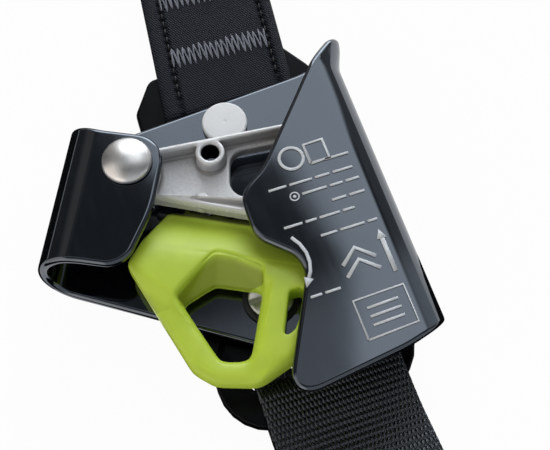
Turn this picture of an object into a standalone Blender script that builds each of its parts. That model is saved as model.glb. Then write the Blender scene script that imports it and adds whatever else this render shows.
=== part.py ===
# Chest ascender on its strap frame, lying on its back: X across, Y along the rope, Z out of the front.
# The origin is the middle of the strap frame's rear face. All sizes are in metres.

import math

import bmesh
import bpy
from mathutils import Matrix, Vector

MM = 0.001

# Clearances
SEAT = 0.3 * MM             # between pieces that sit on each other
SLIP = 0.25 * MM            # between pieces that turn on each other
SWING = 1.0 * MM            # round pieces that swing past each other
ARC_STEP = math.radians(15)  # turn of one facet on a rounded corner

# Strap frame
FRAME_WIDTH = 61.0 * MM
FRAME_HEIGHT = 125.2 * MM
FRAME_THICK = 6.4 * MM
FRAME_CORNER = 16.0 * MM       # the two lower corners
FRAME_CUT_X = 7.4 * MM         # the two upper corners are cut off slanting
FRAME_CUT_Y = 11.3 * MM
FRAME_CUT_ROUND = 4.0 * MM
FRAME_LEAN = 0.018             # sideways run of the frame's sides per unit of height
FRAME_EDGE = 0.9 * MM
BAR_THICK = 3.8 * MM        # the two webbing bars are set forward of the rear face
SLOT_HEIGHT = 5.4 * MM
SLOT_SHIFT = 1.4 * MM       # the slots' middle, to the right of the frame's
UPPER_SLOT_RISE = 6.2 * MM  # the upper slot over the rivet, the lower slot under the screw
LOWER_SLOT_DROP = 18.5 * MM
GROOVE_WIDTH = 1.9 * MM     # angled relief groove low on the left
GROOVE_DEPTH = 3.0 * MM
GROOVE_INSET = 5.3 * MM
GROOVE_Y = -32.4 * MM
GROOVE_LEG = 6.5 * MM
GROOVE_ARM = 12.0 * MM
GROOVE_TURN = math.radians(-31)

# Webbing
STRAP_WIDTH = 44.2 * MM
STRAP_THICK = 2.0 * MM
STRAP_EASE = 0.2 * MM       # spare depth behind the body for the webbing
UPPER_STRAP_END = 100.0 * MM
LOWER_STRAP_END = 92.0 * MM
STRAP_MEET = 11.0 * MM      # length over which the rear layer comes up to the front one
TAIL_BACK = 7.0 * MM        # how far the rear layer stops short of the front one
STRAP_LEAN = 0.1            # sideways run of the upper webbing per unit of length

# Bent sheet body
SHEET = 3.2 * MM
CHANNEL = 14.4 * MM         # inside width of both folds
SHEET_EDGE = 0.9 * MM       # rounding of the sheet's rim
BEND_STEPS = 14
CHANNEL_X = 25.9 * MM       # bend axis of the rope channel
CHANNEL_TOP = 48.4 * MM
CHANNEL_FOOT = -51.0 * MM
MOUTH_FLARE = 3.6 * MM      # how far the channel's top opens outwards
MOUTH_LENGTH = 13.2 * MM
FOLD_X = -41.3 * MM         # a point on the left fold's axis
FOLD_Y = 37.6 * MM
FOLD_TURN = math.radians(26.3)
FOLD_TOP = 1.9 * MM         # the ear's top and foot, measured along the fold from that point
FOLD_FOOT = 45.2 * MM
FOLD_BACK_FOOT = 50.0 * MM
EAR_REACH = 21.0 * MM       # the ear's width past the fold's axis
EAR_WAIST = 26.0 * MM       # from here down the ear's edge runs in
EAR_FOOT_IN = 4.6 * MM
EAR_TOP_ROUND = 10.2 * MM
EAR_FOOT_ROUND = 8.0 * MM
WALL_TOP_LEFT = 40.6 * MM   # the back wall's top edge at the fold and at the channel
WALL_TOP_RIGHT = 45.6 * MM
WALL_FOOT = -49.6 * MM

# Front flap, as corners in the finished front view
FLAP_FOOT_LEFT = (-15.6 * MM, -62.2 * MM, 6.0 * MM)
FLAP_WAIST = (3.7 * MM, -24.3 * MM, 8.0 * MM)
FLAP_NOSE_LOW = (-8.4 * MM, -12.9 * MM, 8.0 * MM)
FLAP_NOSE_HIGH = (-8.4 * MM, 2.0 * MM, 7.0 * MM)
FLAP_THROAT = (0.6 * MM, 7.9 * MM, 20.0 * MM)
FLAP_FOOT_RIGHT = -56.8 * MM
FLAP_TIP_RISE = 1.19        # slope of the long edge up to the tip

# Cam pivot
PIVOT_X = -37.0 * MM
PIVOT_Y = 22.1 * MM
AXLE_R = 4.0 * MM
DOME_R = 7.6 * MM
DOME_RISE = 3.5 * MM
DOME_EDGE = 2.0 * MM        # rolled edge round the flatter crown
TAIL_R = 5.9 * MM
TAIL_RISE = 1.9 * MM
TAIL_WASHER_R = 7.3 * MM
TAIL_WASHER_THICK = 0.8 * MM
BUSH_WALL = 1.0 * MM
THRUST_THICK = 0.5 * MM
THRUST_WALL = 1.1 * MM      # width of the thrust washers' rings

# Cam
HUB_R = 9.2 * MM
POCKET_INSET = 4.0 * MM     # the web's pocket starts this far from the pivot, under the ear
CAM_FRONT_GAP = 1.4 * MM    # cam's front below the flap's inside
CAM_RISE = 5.8 * MM         # height of the ribs and the boss over the web
CAM_EDGE = 0.6 * MM
RIB = 1.9 * MM              # width of the top rib
RIB_LEFT_Y = 27.4 * MM      # top edge over the pivot and at the toothed end
RIB_RIGHT_Y = 21.6 * MM
CAM_RIGHT = 25.2 * MM
FLANGE_LEFT = (-33.6 * MM, 9.9 * MM)
FLANGE_SLOPE = -0.521
FLANGE_WIDTH_LEFT = 2.6 * MM
FLANGE_WIDTH_RIGHT = 10.5 * MM
TOOTH_GAP = 3.2 * MM        # the toothed face to the channel's far wall
TOOTH_Y = 4.7 * MM          # middle of the toothed face's arc
TOOTH_FACE_R = 37.0 * MM
TOOTH_TOP = math.radians(26)
TOOTH_FOOT = math.radians(-34)
TOOTH_BLOCK = 14.0 * MM     # depth of the toothed end
TOOTH_ROWS = 9
TOOTH_R = 0.95 * MM
TOOTH_RISE = 1.5 * MM
TOOTH_LEAN = math.radians(18)
TOOTH_PITCH = 2.6 * MM      # across the rope
BOSS_X = -12.2 * MM
BOSS_Y = 19.9 * MM
BOSS_R = 4.55 * MM
BOSS_BORE_R = 2.85 * MM
WINDOW_LEFT = -10.2 * MM
WINDOW_TOP_DROP = 2.0 * MM   # the window's edges off the top rib and the flange
WINDOW_FOOT_RISE = 3.2 * MM
WINDOW_ROUND = 5.0 * MM
SPRING_WIRE = 0.9 * MM
SPRING_TURNS = 3.5
SPRING_PITCH = 1.36 * MM
SPRING_ROOM = 0.5 * MM      # round the coil in its bore
SPRING_LEG = 1.6 * MM

# Trigger
PIN_X = -19.0 * MM
PIN_Y = 6.2 * MM
PIN_R = 2.0 * MM
PIN_HEAD_R = 3.6 * MM
PIN_HEAD_RISE = 0.7 * MM
PIN_WASHER_THICK = 0.4 * MM
PIN_GRIP = 4.4 * MM         # length of the pin inside the cam
LUG_R = 5.6 * MM
LUG_THICK = 3.1 * MM
LUG_FLOOR = 0.9 * MM
LUG_STEP = 0.05 * MM        # the lug's face just below the land beside it
RECESS_LEFT = 14.0 * MM     # the recess under the flange, to each side of the pin
RECESS_RIGHT = 26.0 * MM
RECESS_RISE = 4.0 * MM
TRIGGER_THICK = 9.9 * MM
TRIGGER_EDGE = 2.2 * MM
TRIGGER_RAMP = 0.6          # rise of the upper facet away from the cam
FACET_START = 1.7 * MM      # where the facet starts, clear of the cam's flange as the trigger swings
TUCK_LEFT = 0.6 * MM        # how far the trigger's top edge reaches in under the flange
TUCK_RIGHT = 2.2 * MM
RING_DROP = 1.9 * MM        # the ring round the finger window lies lower than the upper part
RING_RAMP = 4.2 * MM
HANG_LEFT = -29.6 * MM
HANG_RIGHT = 3.0 * MM
HANG_ROUND = 2.6 * MM
TRIGGER_ELBOW = (-46.0 * MM, -6.5 * MM, 2.6 * MM)
TRIGGER_HEEL = (-36.9 * MM, -43.0 * MM, 3.5 * MM)
TRIGGER_FOOT_LEFT = (-31.9 * MM, -48.7 * MM, 4.0 * MM)
TRIGGER_FOOT = (-20.0 * MM, -53.0 * MM, 4.5 * MM)
TRIGGER_CHIN = (-9.2 * MM, -49.7 * MM, 5.0 * MM)
TRIGGER_SIDE_LOW = (2.0 * MM, -39.5 * MM, 6.0 * MM)
TRIGGER_SIDE = (6.0 * MM, -24.0 * MM, 6.0 * MM)
FINGER_LEFT = (-34.0 * MM, -22.4 * MM, 1.8 * MM)
FINGER_FOOT_LEFT = (-28.3 * MM, -42.7 * MM, 2.0 * MM)
FINGER_FOOT_RIGHT = (-20.5 * MM, -45.3 * MM, 2.5 * MM)
FINGER_RIGHT = (-10.2 * MM, -25.7 * MM, 2.0 * MM)
FINGER_TOP = (-22.8 * MM, -19.2 * MM, 3.0 * MM)
FINGER_FLARE = 1.5 * MM     # the window's rim is cut away by this much all round
GAP_TOP_LEFT = (-3.6 * MM, -29.8 * MM, 1.0 * MM)
GAP_FOOT_LEFT = (-9.8 * MM, -42.8 * MM, 0.8 * MM)
GAP_FOOT_RIGHT = (-5.6 * MM, -41.2 * MM, 1.2 * MM)
GAP_RIGHT = (0.3 * MM, -33.0 * MM, 1.5 * MM)
GAP_TOP_RIGHT = (0.6 * MM, -29.8 * MM, 1.2 * MM)
SCOOP_TOP = (-18.8 * MM, -9.2 * MM)
SCOOP_LEFT = (-35.4 * MM, -20.0 * MM)
SCOOP_RIGHT = (-7.8 * MM, -18.9 * MM)
SCOOP_FLOOR = 2.8 * MM      # the scoop's low edge over the trigger's back
TSPRING_WIRE = 0.6 * MM
TSPRING_TURNS = 1.25
TSPRING_PITCH = 1.05 * MM

# Rivet and screw that hold the body to the frame
RIVET_X = -3.5 * MM
RIVET_Y = 34.6 * MM
RIVET_HEAD_R = 7.2 * MM
RIVET_HEAD_RISE = 2.2 * MM
RIVET_R = 3.0 * MM
RIVET_TAIL_R = 4.9 * MM
RIVET_TAIL_RISE = 1.9 * MM
SCREW_X = -8.1 * MM
SCREW_Y = -26.3 * MM
SCREW_HEAD_R = 6.8 * MM
SCREW_HEAD_RISE = 1.3 * MM
SCREW_SLOT = 1.6 * MM
SCREW_R = 3.0 * MM
SCREW_WASHER_R = 8.5 * MM
SCREW_WASHER_THICK = 0.5 * MM
NUT_R = 5.6 * MM            # across the corners
NUT_THICK = 3.8 * MM
SPACER_R = 7.6 * MM

# Levels from the rear face forward
SPACER_THICK = STRAP_THICK + STRAP_EASE
BODY_BACK = FRAME_THICK + SEAT + SPACER_THICK + SEAT
BODY_IN = BODY_BACK + SHEET
FLAP_IN = BODY_IN + CHANNEL
FLAP_FRONT = FLAP_IN + SHEET
SCREW_TOP = BODY_IN + SEAT + SCREW_WASHER_THICK + SEAT + SCREW_HEAD_RISE
CAM_BACK = SCREW_TOP + SEAT
CAM_FRONT = FLAP_IN - CAM_FRONT_GAP
WEB_FRONT = CAM_FRONT - CAM_RISE
HUB_BACK = BODY_IN + SEAT + THRUST_THICK + SEAT
HUB_FRONT = FLAP_IN - SEAT - THRUST_THICK - SEAT
LUG_FRONT = CAM_BACK + LUG_THICK
FLANGE_BACK = LUG_FRONT + SEAT
BEND_R = CHANNEL / 2 + SHEET / 2
BEND_LENGTH = math.pi * BEND_R
BEND_Z = BODY_IN + CHANNEL / 2
FOLD_DOWN = Vector((-math.sin(FOLD_TURN), -math.cos(FOLD_TURN)))
FOLD_OUT = Vector((math.cos(FOLD_TURN), -math.sin(FOLD_TURN)))
FOLD_POINT = Vector((FOLD_X, FOLD_Y))

for old in list(bpy.data.objects):
    bpy.data.objects.remove(old, do_unlink=True)

parts = bpy.data.collections.new("chest_ascender")
cutters = bpy.data.collections.new("cutters")
cutters.hide_render = True
bpy.context.scene.collection.children.link(parts)
bpy.context.scene.collection.children.link(cutters)


def surface(name, colour, metallic, roughness):
    made = bpy.data.materials.new(name)
    made.use_nodes = True
    shader = made.node_tree.nodes["Principled BSDF"]
    shader.inputs["Base Color"].default_value = (*colour, 1.0)
    shader.inputs["Metallic"].default_value = metallic
    shader.inputs["Roughness"].default_value = roughness
    return made


def clean(mesh):
    # Welds a mesh made from a curve and joins the flat triangles of its caps.
    work = bmesh.new()
    work.from_mesh(mesh)
    bmesh.ops.remove_doubles(work, verts=work.verts, dist=1e-7)
    bmesh.ops.dissolve_limit(work, angle_limit=0.001, verts=work.verts, edges=work.edges)
    bmesh.ops.recalc_face_normals(work, faces=work.faces)
    work.to_mesh(mesh)
    work.free()


def placed(name, mesh, look=None):
    # A part gets its material and smooth shading; a cutter is a hidden wire.
    made = bpy.data.objects.new(name, mesh)
    if look is None:
        cutters.objects.link(made)
        made.hide_render = True
        made.display_type = "WIRE"
        return made
    parts.objects.link(made)
    mesh.materials.append(look)
    mesh.shade_smooth()
    mesh.set_sharp_from_angle(angle=math.radians(35))
    return made


def adopt(axis, *pieces):
    # The pieces turn with this axis; their meshes are drawn in the assembly's place.
    for piece in pieces:
        piece.parent = axis
        piece.matrix_parent_inverse = Matrix.Translation(axis["place"]).inverted()


def axis_empty(name, x, y, parent=None):
    made = bpy.data.objects.new(name, None)
    parts.objects.link(made)
    made.location = (x, y, 0)
    made["place"] = (x, y, 0.0)
    if parent:
        adopt(parent, made)
    return made


def rounded(corners):
    # Corners (x, y, radius) in order become a closed run of points with an arc at each corner.
    points = []
    for index, (x, y, radius) in enumerate(corners):
        here = Vector((x, y))
        before = Vector(corners[index - 1][:2])
        after = Vector(corners[(index + 1) % len(corners)][:2])
        back = (before - here).normalized()
        ahead = (after - here).normalized()
        half = back.angle(ahead) / 2
        if radius <= 0 or half > math.radians(89.5):
            points.append(here)
            continue
        reach = radius / math.tan(half)
        limit = 0.48 * min((before - here).length, (after - here).length)
        if reach > limit:
            radius = radius * limit / reach
            reach = limit
        middle = here + (back + ahead).normalized() * (radius / math.sin(half))
        start = here + back * reach - middle
        turn = math.pi - 2 * half
        if start.cross(here + ahead * reach - middle) < 0:
            turn = -turn
        steps = max(2, round(abs(turn) / ARC_STEP))
        for step in range(steps + 1):
            spun = Matrix.Rotation(turn * step / steps, 2) @ start
            points.append(middle + spun)
    return points


def outline_mesh(name, points, thick):
    # A flat outline as a filled 2D curve, turned into a welded mesh.
    curve = bpy.data.curves.new(name, "CURVE")
    curve.dimensions = "2D"
    curve.fill_mode = "BOTH"
    curve.extrude = thick / 2
    spline = curve.splines.new("POLY")
    spline.points.add(len(points) - 1)
    for target, point in zip(spline.points, points):
        target.co = (point[0], point[1], 0, 1)
    spline.use_cyclic_u = True
    guide = bpy.data.objects.new(name, curve)
    bpy.context.scene.collection.objects.link(guide)
    graph = bpy.context.evaluated_depsgraph_get()
    mesh = bpy.data.meshes.new_from_object(guide.evaluated_get(graph))
    bpy.data.objects.remove(guide, do_unlink=True)
    clean(mesh)
    return mesh


def slab(name, corners, low, high, look=None):
    mesh = outline_mesh(name, rounded(corners), high - low)
    mesh.transform(Matrix.Translation((0, 0, (low + high) / 2)))
    return placed(name, mesh, look)


def box(name, x0, x1, y0, y1, z0, z1):
    work = bmesh.new()
    size = Matrix.Diagonal((x1 - x0, y1 - y0, z1 - z0, 1))
    middle = Matrix.Translation(((x0 + x1) / 2, (y0 + y1) / 2, (z0 + z1) / 2))
    bmesh.ops.create_cube(work, size=1, matrix=middle @ size)
    mesh = bpy.data.meshes.new(name)
    work.to_mesh(mesh)
    work.free()
    return placed(name, mesh)


def rod(name, x, y, radius, low, high, sides=32, look=None):
    work = bmesh.new()
    bmesh.ops.create_cone(work, cap_ends=True, segments=sides, radius1=radius, radius2=radius,
                          depth=high - low, matrix=Matrix.Translation((x, y, (low + high) / 2)))
    mesh = bpy.data.meshes.new(name)
    work.to_mesh(mesh)
    work.free()
    return placed(name, mesh, look)


def turned(name, x, y, profile, look=None, closed=False, steps=32):
    # A profile of (radius, z), run from the top down the outside, spun about a Z axis.
    mesh = bpy.data.meshes.new(name)
    edges = [(step, step + 1) for step in range(len(profile) - 1)]
    if closed:
        edges.append((len(profile) - 1, 0))
    mesh.from_pydata([(radius, 0, z) for radius, z in profile], edges, [])
    made = placed(name, mesh, look)
    made.location = (x, y, 0)
    spin = made.modifiers.new("spin", "SCREW")
    spin.steps = steps
    spin.render_steps = steps
    spin.use_merge_vertices = True
    spin.merge_threshold = 1e-6
    spin.use_smooth_shade = True
    return made


def ring(name, x, y, inner, outer, low, high, look=None, sides=32):
    profile = [(inner, high), (outer, high), (outer, low), (inner, low)]
    return turned(name, x, y, profile, look, closed=True, steps=sides)


def boolean(target, tool, operation):
    step = target.modifiers.new(tool.name, "BOOLEAN")
    step.operation = operation
    step.solver = "EXACT"
    step.object = tool


def cut(target, *tools):
    for tool in tools:
        boolean(target, tool, "DIFFERENCE")


def fuse(target, *tools):
    for tool in tools:
        boolean(target, tool, "UNION")


def round_edges(target, width, segments, angle=50):
    step = target.modifiers.new("rounding", "BEVEL")
    step.width = width
    step.segments = segments
    step.limit_method = "ANGLE"
    step.angle_limit = math.radians(angle)
    step.use_clamp_overlap = False


def coil(name, x, y, radius, wire, turns, pitch, low, legs, look):
    # A torsion spring: the curls by formula, with one leg at each end.
    count = round(turns * 10)
    points = [Vector((legs[0][0], legs[0][1], legs[0][2]))]
    curls = []
    for step in range(count + 1):
        angle = 2 * math.pi * turns * step / count
        height = low + pitch * turns * step / count
        curls.append(Vector((x + radius * math.cos(angle), y + radius * math.sin(angle), height)))
    gap = min((a - b).length - wire for i, a in enumerate(curls) for b in curls[i + 7:])
    print(name, "least gap between curls", round(gap / MM, 2), "mm")
    points += curls
    points.append(Vector((legs[1][0], legs[1][1], legs[1][2])))
    curve = bpy.data.curves.new(name, "CURVE")
    curve.dimensions = "3D"
    curve.bevel_depth = wire / 2
    curve.bevel_resolution = 1
    curve.use_fill_caps = True
    spline = curve.splines.new("POLY")
    spline.points.add(len(points) - 1)
    for target, point in zip(spline.points, points):
        target.co = (*point, 1)
    guide = bpy.data.objects.new(name + "_path", curve)
    bpy.context.scene.collection.objects.link(guide)
    graph = bpy.context.evaluated_depsgraph_get()
    mesh = bpy.data.meshes.new_from_object(guide.evaluated_get(graph))
    bpy.data.objects.remove(guide, do_unlink=True)
    work = bmesh.new()
    work.from_mesh(mesh)
    bmesh.ops.remove_doubles(work, verts=work.verts, dist=1e-7)
    bmesh.ops.recalc_face_normals(work, faces=work.faces)
    work.to_mesh(mesh)
    work.free()
    return placed(name, mesh, look)


def on_fold(along, across):
    # Flat blank position from distances along and across the left fold's axis.
    return FOLD_POINT + FOLD_DOWN * along + FOLD_OUT * across


def on_flap(x, y, radius):
    # Flat blank position of a corner given in the finished front view.
    return (2 * CHANNEL_X + BEND_LENGTH - x, y, radius)


def bent(x, y):
    # Bends a point of the flat blank round the rope channel or the left fold.
    flat = Vector((x, y))
    if x > CHANNEL_X:
        angle = (x - CHANNEL_X) / BEND_R
        if angle >= math.pi:
            return Vector((2 * CHANNEL_X + BEND_LENGTH - x, y, BEND_Z + BEND_R))
        rise = min(1.0, max(0.0, (y - CHANNEL_TOP + MOUTH_LENGTH) / MOUTH_LENGTH))
        reach = BEND_R + MOUTH_FLARE * rise * rise * (3 - 2 * rise)
        return Vector((CHANNEL_X + reach * math.sin(angle), y, BEND_Z - BEND_R * math.cos(angle)))
    across = (flat - FOLD_POINT).dot(FOLD_OUT)
    if across >= 0:
        return Vector((x, y, BEND_Z - BEND_R))
    along = (flat - FOLD_POINT).dot(FOLD_DOWN)
    angle = -across / BEND_R
    if angle >= math.pi:
        place = on_fold(along, -across - BEND_LENGTH)
        return Vector((place.x, place.y, BEND_Z + BEND_R))
    place = on_fold(along, -BEND_R * math.sin(angle))
    return Vector((place.x, place.y, BEND_Z - BEND_R * math.cos(angle)))


def flange_y(x):
    # Lower edge of the cam's flange.
    return FLANGE_LEFT[1] + FLANGE_SLOPE * (x - FLANGE_LEFT[0])


def flange_top_y(x):
    # Upper edge of the flange, which widens towards the toothed end.
    share = (x - FLANGE_LEFT[0]) / (CAM_RIGHT - FLANGE_LEFT[0])
    return flange_y(x) + FLANGE_WIDTH_LEFT + (FLANGE_WIDTH_RIGHT - FLANGE_WIDTH_LEFT) * share


def rib_y(x):
    # Top edge of the cam.
    share = (x - PIVOT_X) / (CAM_RIGHT - PIVOT_X)
    return RIB_LEFT_Y + (RIB_RIGHT_Y - RIB_LEFT_Y) * share


black_sheet = surface("black_sheet", (0.018, 0.019, 0.022), 0.6, 0.32)
black_frame = surface("black_frame", (0.012, 0.012, 0.014), 0.5, 0.3)
cast_steel = surface("cast_steel", (0.52, 0.52, 0.53), 1.0, 0.42)
bright_steel = surface("bright_steel", (0.78, 0.77, 0.75), 1.0, 0.18)
bright_alloy = surface("bright_alloy", (0.86, 0.87, 0.89), 0.9, 0.45)
plain_steel = surface("plain_steel", (0.42, 0.42, 0.41), 1.0, 0.4)
spring_steel = surface("spring_steel", (0.35, 0.35, 0.36), 1.0, 0.35)
bronze = surface("bronze", (0.5, 0.33, 0.15), 1.0, 0.38)
dark_ring = surface("dark_ring", (0.01, 0.01, 0.01), 0.0, 0.6)
lime_plastic = surface("lime_plastic", (0.42, 0.6, 0.06), 0.0, 0.38)
black_webbing = surface("black_webbing", (0.012, 0.012, 0.015), 0.0, 0.85)

cam_axis = axis_empty("cam_axis", PIVOT_X, PIVOT_Y)
trigger_axis = axis_empty("trigger_axis", PIN_X, PIN_Y, cam_axis)

# The body is cut as one flat blank, then bent round the rope channel and the left fold.
mid_right = CHANNEL_X + BEND_LENGTH / 2
end_right = CHANNEL_X + BEND_LENGTH
ear_in = -BEND_LENGTH
ear_out = ear_in - EAR_REACH
wall_slope = (WALL_TOP_RIGHT - WALL_TOP_LEFT) / (CHANNEL_X - FOLD_X)
wall_start = on_fold(FOLD_BACK_FOOT, 0)
wall_turn_x = wall_start.x + (wall_start.y - WALL_FOOT) / 0.667
tip_left = FLAP_THROAT[1] + FLAP_TIP_RISE * (CHANNEL_X - FLAP_THROAT[0])
tip_run = (CHANNEL_TOP - tip_left) / FLAP_TIP_RISE
blank = [
    (CHANNEL_X, WALL_FOOT, 30.0 * MM),
    (mid_right, CHANNEL_FOOT, 40.0 * MM),
    on_flap(CHANNEL_X, FLAP_FOOT_RIGHT, 60.0 * MM),
    on_flap(*FLAP_FOOT_LEFT),
    on_flap(*FLAP_WAIST),
    on_flap(*FLAP_NOSE_LOW),
    on_flap(*FLAP_NOSE_HIGH),
    on_flap(*FLAP_THROAT),
    (end_right - tip_run, CHANNEL_TOP, 14.0 * MM),
    (mid_right - 4.0 * MM, CHANNEL_TOP - 0.4 * MM, 9.0 * MM),
    (CHANNEL_X, WALL_TOP_RIGHT, 30.0 * MM),
    (*(on_fold(0, 0) + Vector((0, WALL_TOP_LEFT - FOLD_Y))), 12.0 * MM),
    (*on_fold(FOLD_TOP, ear_in), 20.0 * MM),
    (*on_fold(FOLD_TOP, ear_out), EAR_TOP_ROUND),
    (*on_fold(EAR_WAIST, ear_out), 40.0 * MM),
    (*on_fold(FOLD_FOOT, ear_out + EAR_FOOT_IN), EAR_FOOT_ROUND),
    (*on_fold(FOLD_FOOT, ear_in), 40.0 * MM),
    (*wall_start, 40.0 * MM),
    (wall_turn_x, WALL_FOOT, 12.0 * MM),
]
body_mesh = outline_mesh("body_shell", rounded(blank), 0)
work = bmesh.new()
work.from_mesh(body_mesh)
for step in range(BEND_STEPS + 1):
    run = BEND_LENGTH * step / BEND_STEPS
    fold = on_fold(0, -run)
    for place, across in (((CHANNEL_X + run, 0, 0), (1, 0, 0)), ((fold.x, fold.y, 0), (*FOLD_OUT, 0))):
        everything = work.verts[:] + work.edges[:] + work.faces[:]
        bmesh.ops.bisect_plane(work, geom=everything, dist=SEAT, plane_co=place, plane_no=across)
for step in range(1, 6):
    level = CHANNEL_TOP - MOUTH_LENGTH * step / 5
    bend_faces = [f for f in work.faces
                  if 0.1 < (f.calc_center_median().x - CHANNEL_X) / BEND_LENGTH < 0.78]
    around = {v for f in bend_faces for v in f.verts} | {e for f in bend_faces for e in f.edges}
    bmesh.ops.bisect_plane(work, geom=list(around) + bend_faces, dist=3 * SEAT, plane_co=(0, level, 0),
                           plane_no=(0, 1, 0))
for vert in work.verts:
    vert.co = bent(vert.co.x, vert.co.y)
bmesh.ops.recalc_face_normals(work, faces=work.faces)
work.to_mesh(body_mesh)
work.free()
body = placed("body_shell", body_mesh, black_sheet)
thicken = body.modifiers.new("sheet", "SOLIDIFY")
thicken.thickness = SHEET
thicken.offset = 0
thicken.use_even_offset = True
round_edges(body, SHEET_EDGE, 2, 60)
cut(body, rod("pivot_holes", PIVOT_X, PIVOT_Y, AXLE_R + SEAT, BODY_BACK - SHEET, FLAP_FRONT + SHEET),
    rod("rivet_hole", RIVET_X, RIVET_Y, RIVET_R + SEAT, BODY_BACK - SHEET, BODY_IN + SHEET, 24),
    rod("screw_hole", SCREW_X, SCREW_Y, SCREW_R + SEAT, BODY_BACK - SHEET, BODY_IN + SHEET, 24))

# Strap frame: a rounded plate whose end bars are set forward, so the webbing lies flush behind it.
side = FRAME_WIDTH / 2
top = FRAME_HEIGHT / 2
cut_foot = top - FRAME_CUT_Y


def frame_corner(x, y, radius):
    return (x + FRAME_LEAN * y, y, radius)


frame = slab("strap_frame", [
    frame_corner(-side, -top, FRAME_CORNER), frame_corner(side, -top, FRAME_CORNER),
    frame_corner(side, cut_foot, FRAME_CUT_ROUND), frame_corner(side - FRAME_CUT_X, top, FRAME_CUT_ROUND),
    frame_corner(FRAME_CUT_X - side, top, FRAME_CUT_ROUND), frame_corner(-side, cut_foot, FRAME_CUT_ROUND)],
    0, FRAME_THICK, black_frame)
round_edges(frame, FRAME_EDGE, 2)
bar_back = FRAME_THICK - BAR_THICK
upper_edge = RIVET_Y + UPPER_SLOT_RISE + SLOT_HEIGHT
lower_edge = SCREW_Y - LOWER_SLOT_DROP - SLOT_HEIGHT
slot_left = SLOT_SHIFT - STRAP_WIDTH / 2 - SWING
slot_right = SLOT_SHIFT + STRAP_WIDTH / 2 + SWING
slot_round = SLOT_HEIGHT * 0.45
upper_slot = slab("upper_slot", [(slot_left, upper_edge - SLOT_HEIGHT, slot_round),
                                 (slot_right, upper_edge - SLOT_HEIGHT, slot_round),
                                 (slot_right, upper_edge, slot_round), (slot_left, upper_edge, slot_round)],
                  -SHEET, FRAME_THICK + SHEET)
lower_slot = slab("lower_slot", [(slot_left, lower_edge, slot_round), (slot_right, lower_edge, slot_round),
                                 (slot_right, lower_edge + SLOT_HEIGHT, slot_round),
                                 (slot_left, lower_edge + SLOT_HEIGHT, slot_round)],
                  -SHEET, FRAME_THICK + SHEET)
upper_back = box("upper_back", -FRAME_WIDTH, FRAME_WIDTH, upper_edge - SLOT_HEIGHT - SWING, 2 * top,
                 -SHEET, bar_back)
lower_back = box("lower_back", -FRAME_WIDTH, FRAME_WIDTH, -2 * top, lower_edge + SLOT_HEIGHT + SWING,
                 -SHEET, bar_back)
half_groove = GROOVE_WIDTH / 2
groove_along = Vector((math.cos(GROOVE_TURN), math.sin(GROOVE_TURN)))
groove_down = Vector((math.sin(GROOVE_TURN), -math.cos(GROOVE_TURN)))
groove_knee = Vector((GROOVE_INSET - side, GROOVE_Y))


def groove_corner(along, down):
    place = groove_knee + groove_along * along + groove_down * down
    return (place.x, place.y, half_groove * 0.8)


groove = slab("relief_groove", [
    groove_corner(-half_groove, -half_groove), groove_corner(-half_groove, GROOVE_LEG),
    groove_corner(half_groove, GROOVE_LEG), groove_corner(half_groove, half_groove),
    groove_corner(GROOVE_ARM, half_groove), groove_corner(GROOVE_ARM, -half_groove)],
    FRAME_THICK - GROOVE_DEPTH, FRAME_THICK + SHEET)
rivet_sink = SEAT + RIVET_TAIL_RISE + SEAT
nut_sink = SEAT + NUT_THICK + SEAT
cut(frame, upper_back, lower_back, upper_slot, lower_slot, groove,
    rod("frame_rivet_hole", RIVET_X, RIVET_Y, RIVET_R + SEAT, -SHEET, FRAME_THICK + SHEET, 24),
    rod("rivet_tail_sink", RIVET_X, RIVET_Y, RIVET_TAIL_R + SEAT, -SHEET, rivet_sink, 24),
    rod("frame_screw_hole", SCREW_X, SCREW_Y, SCREW_R + SEAT, -SHEET, FRAME_THICK + SHEET, 24),
    rod("nut_pocket", SCREW_X, SCREW_Y, NUT_R + SEAT / math.cos(math.pi / 6), -SHEET, nut_sink, 6))

# Rivet, screw, nut and spacers that hold body and frame together
spacer_low = FRAME_THICK + SEAT
spacer_high = BODY_BACK - SEAT
ring("rivet_spacer", RIVET_X, RIVET_Y, RIVET_R + SEAT, SPACER_R, spacer_low, spacer_high, plain_steel, 24)
ring("screw_spacer", SCREW_X, SCREW_Y, SCREW_R + SEAT, SPACER_R, spacer_low, spacer_high, plain_steel, 24)
rivet_seat = BODY_IN + SEAT
rivet_rim = 0.3 * RIVET_HEAD_RISE
turned("frame_rivet", RIVET_X, RIVET_Y, [
    (0, rivet_seat + RIVET_HEAD_RISE), (RIVET_HEAD_R - rivet_rim, rivet_seat + RIVET_HEAD_RISE),
    (RIVET_HEAD_R, rivet_seat + RIVET_HEAD_RISE - rivet_rim), (RIVET_HEAD_R, rivet_seat),
    (RIVET_R, rivet_seat), (RIVET_R, SEAT + RIVET_TAIL_RISE), (RIVET_TAIL_R, SEAT + RIVET_TAIL_RISE),
    (RIVET_TAIL_R, SEAT + RIVET_TAIL_RISE / 2), (RIVET_R, SEAT), (0, SEAT)], bright_alloy, steps=36)
washer_low = BODY_IN + SEAT
ring("screw_washer", SCREW_X, SCREW_Y, SCREW_R + SEAT, SCREW_WASHER_R, washer_low,
     washer_low + SCREW_WASHER_THICK, dark_ring)
head_low = washer_low + SCREW_WASHER_THICK + SEAT
screw = turned("frame_screw", SCREW_X, SCREW_Y, [
    (0, SCREW_TOP), (SCREW_HEAD_R - SCREW_HEAD_RISE / 3, SCREW_TOP),
    (SCREW_HEAD_R, SCREW_TOP - SCREW_HEAD_RISE / 3), (SCREW_HEAD_R, head_low), (SCREW_R, head_low),
    (SCREW_R, 2 * SEAT + SCREW_R / 4), (SCREW_R * 3 / 4, 2 * SEAT), (0, 2 * SEAT)], plain_steel)
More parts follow.
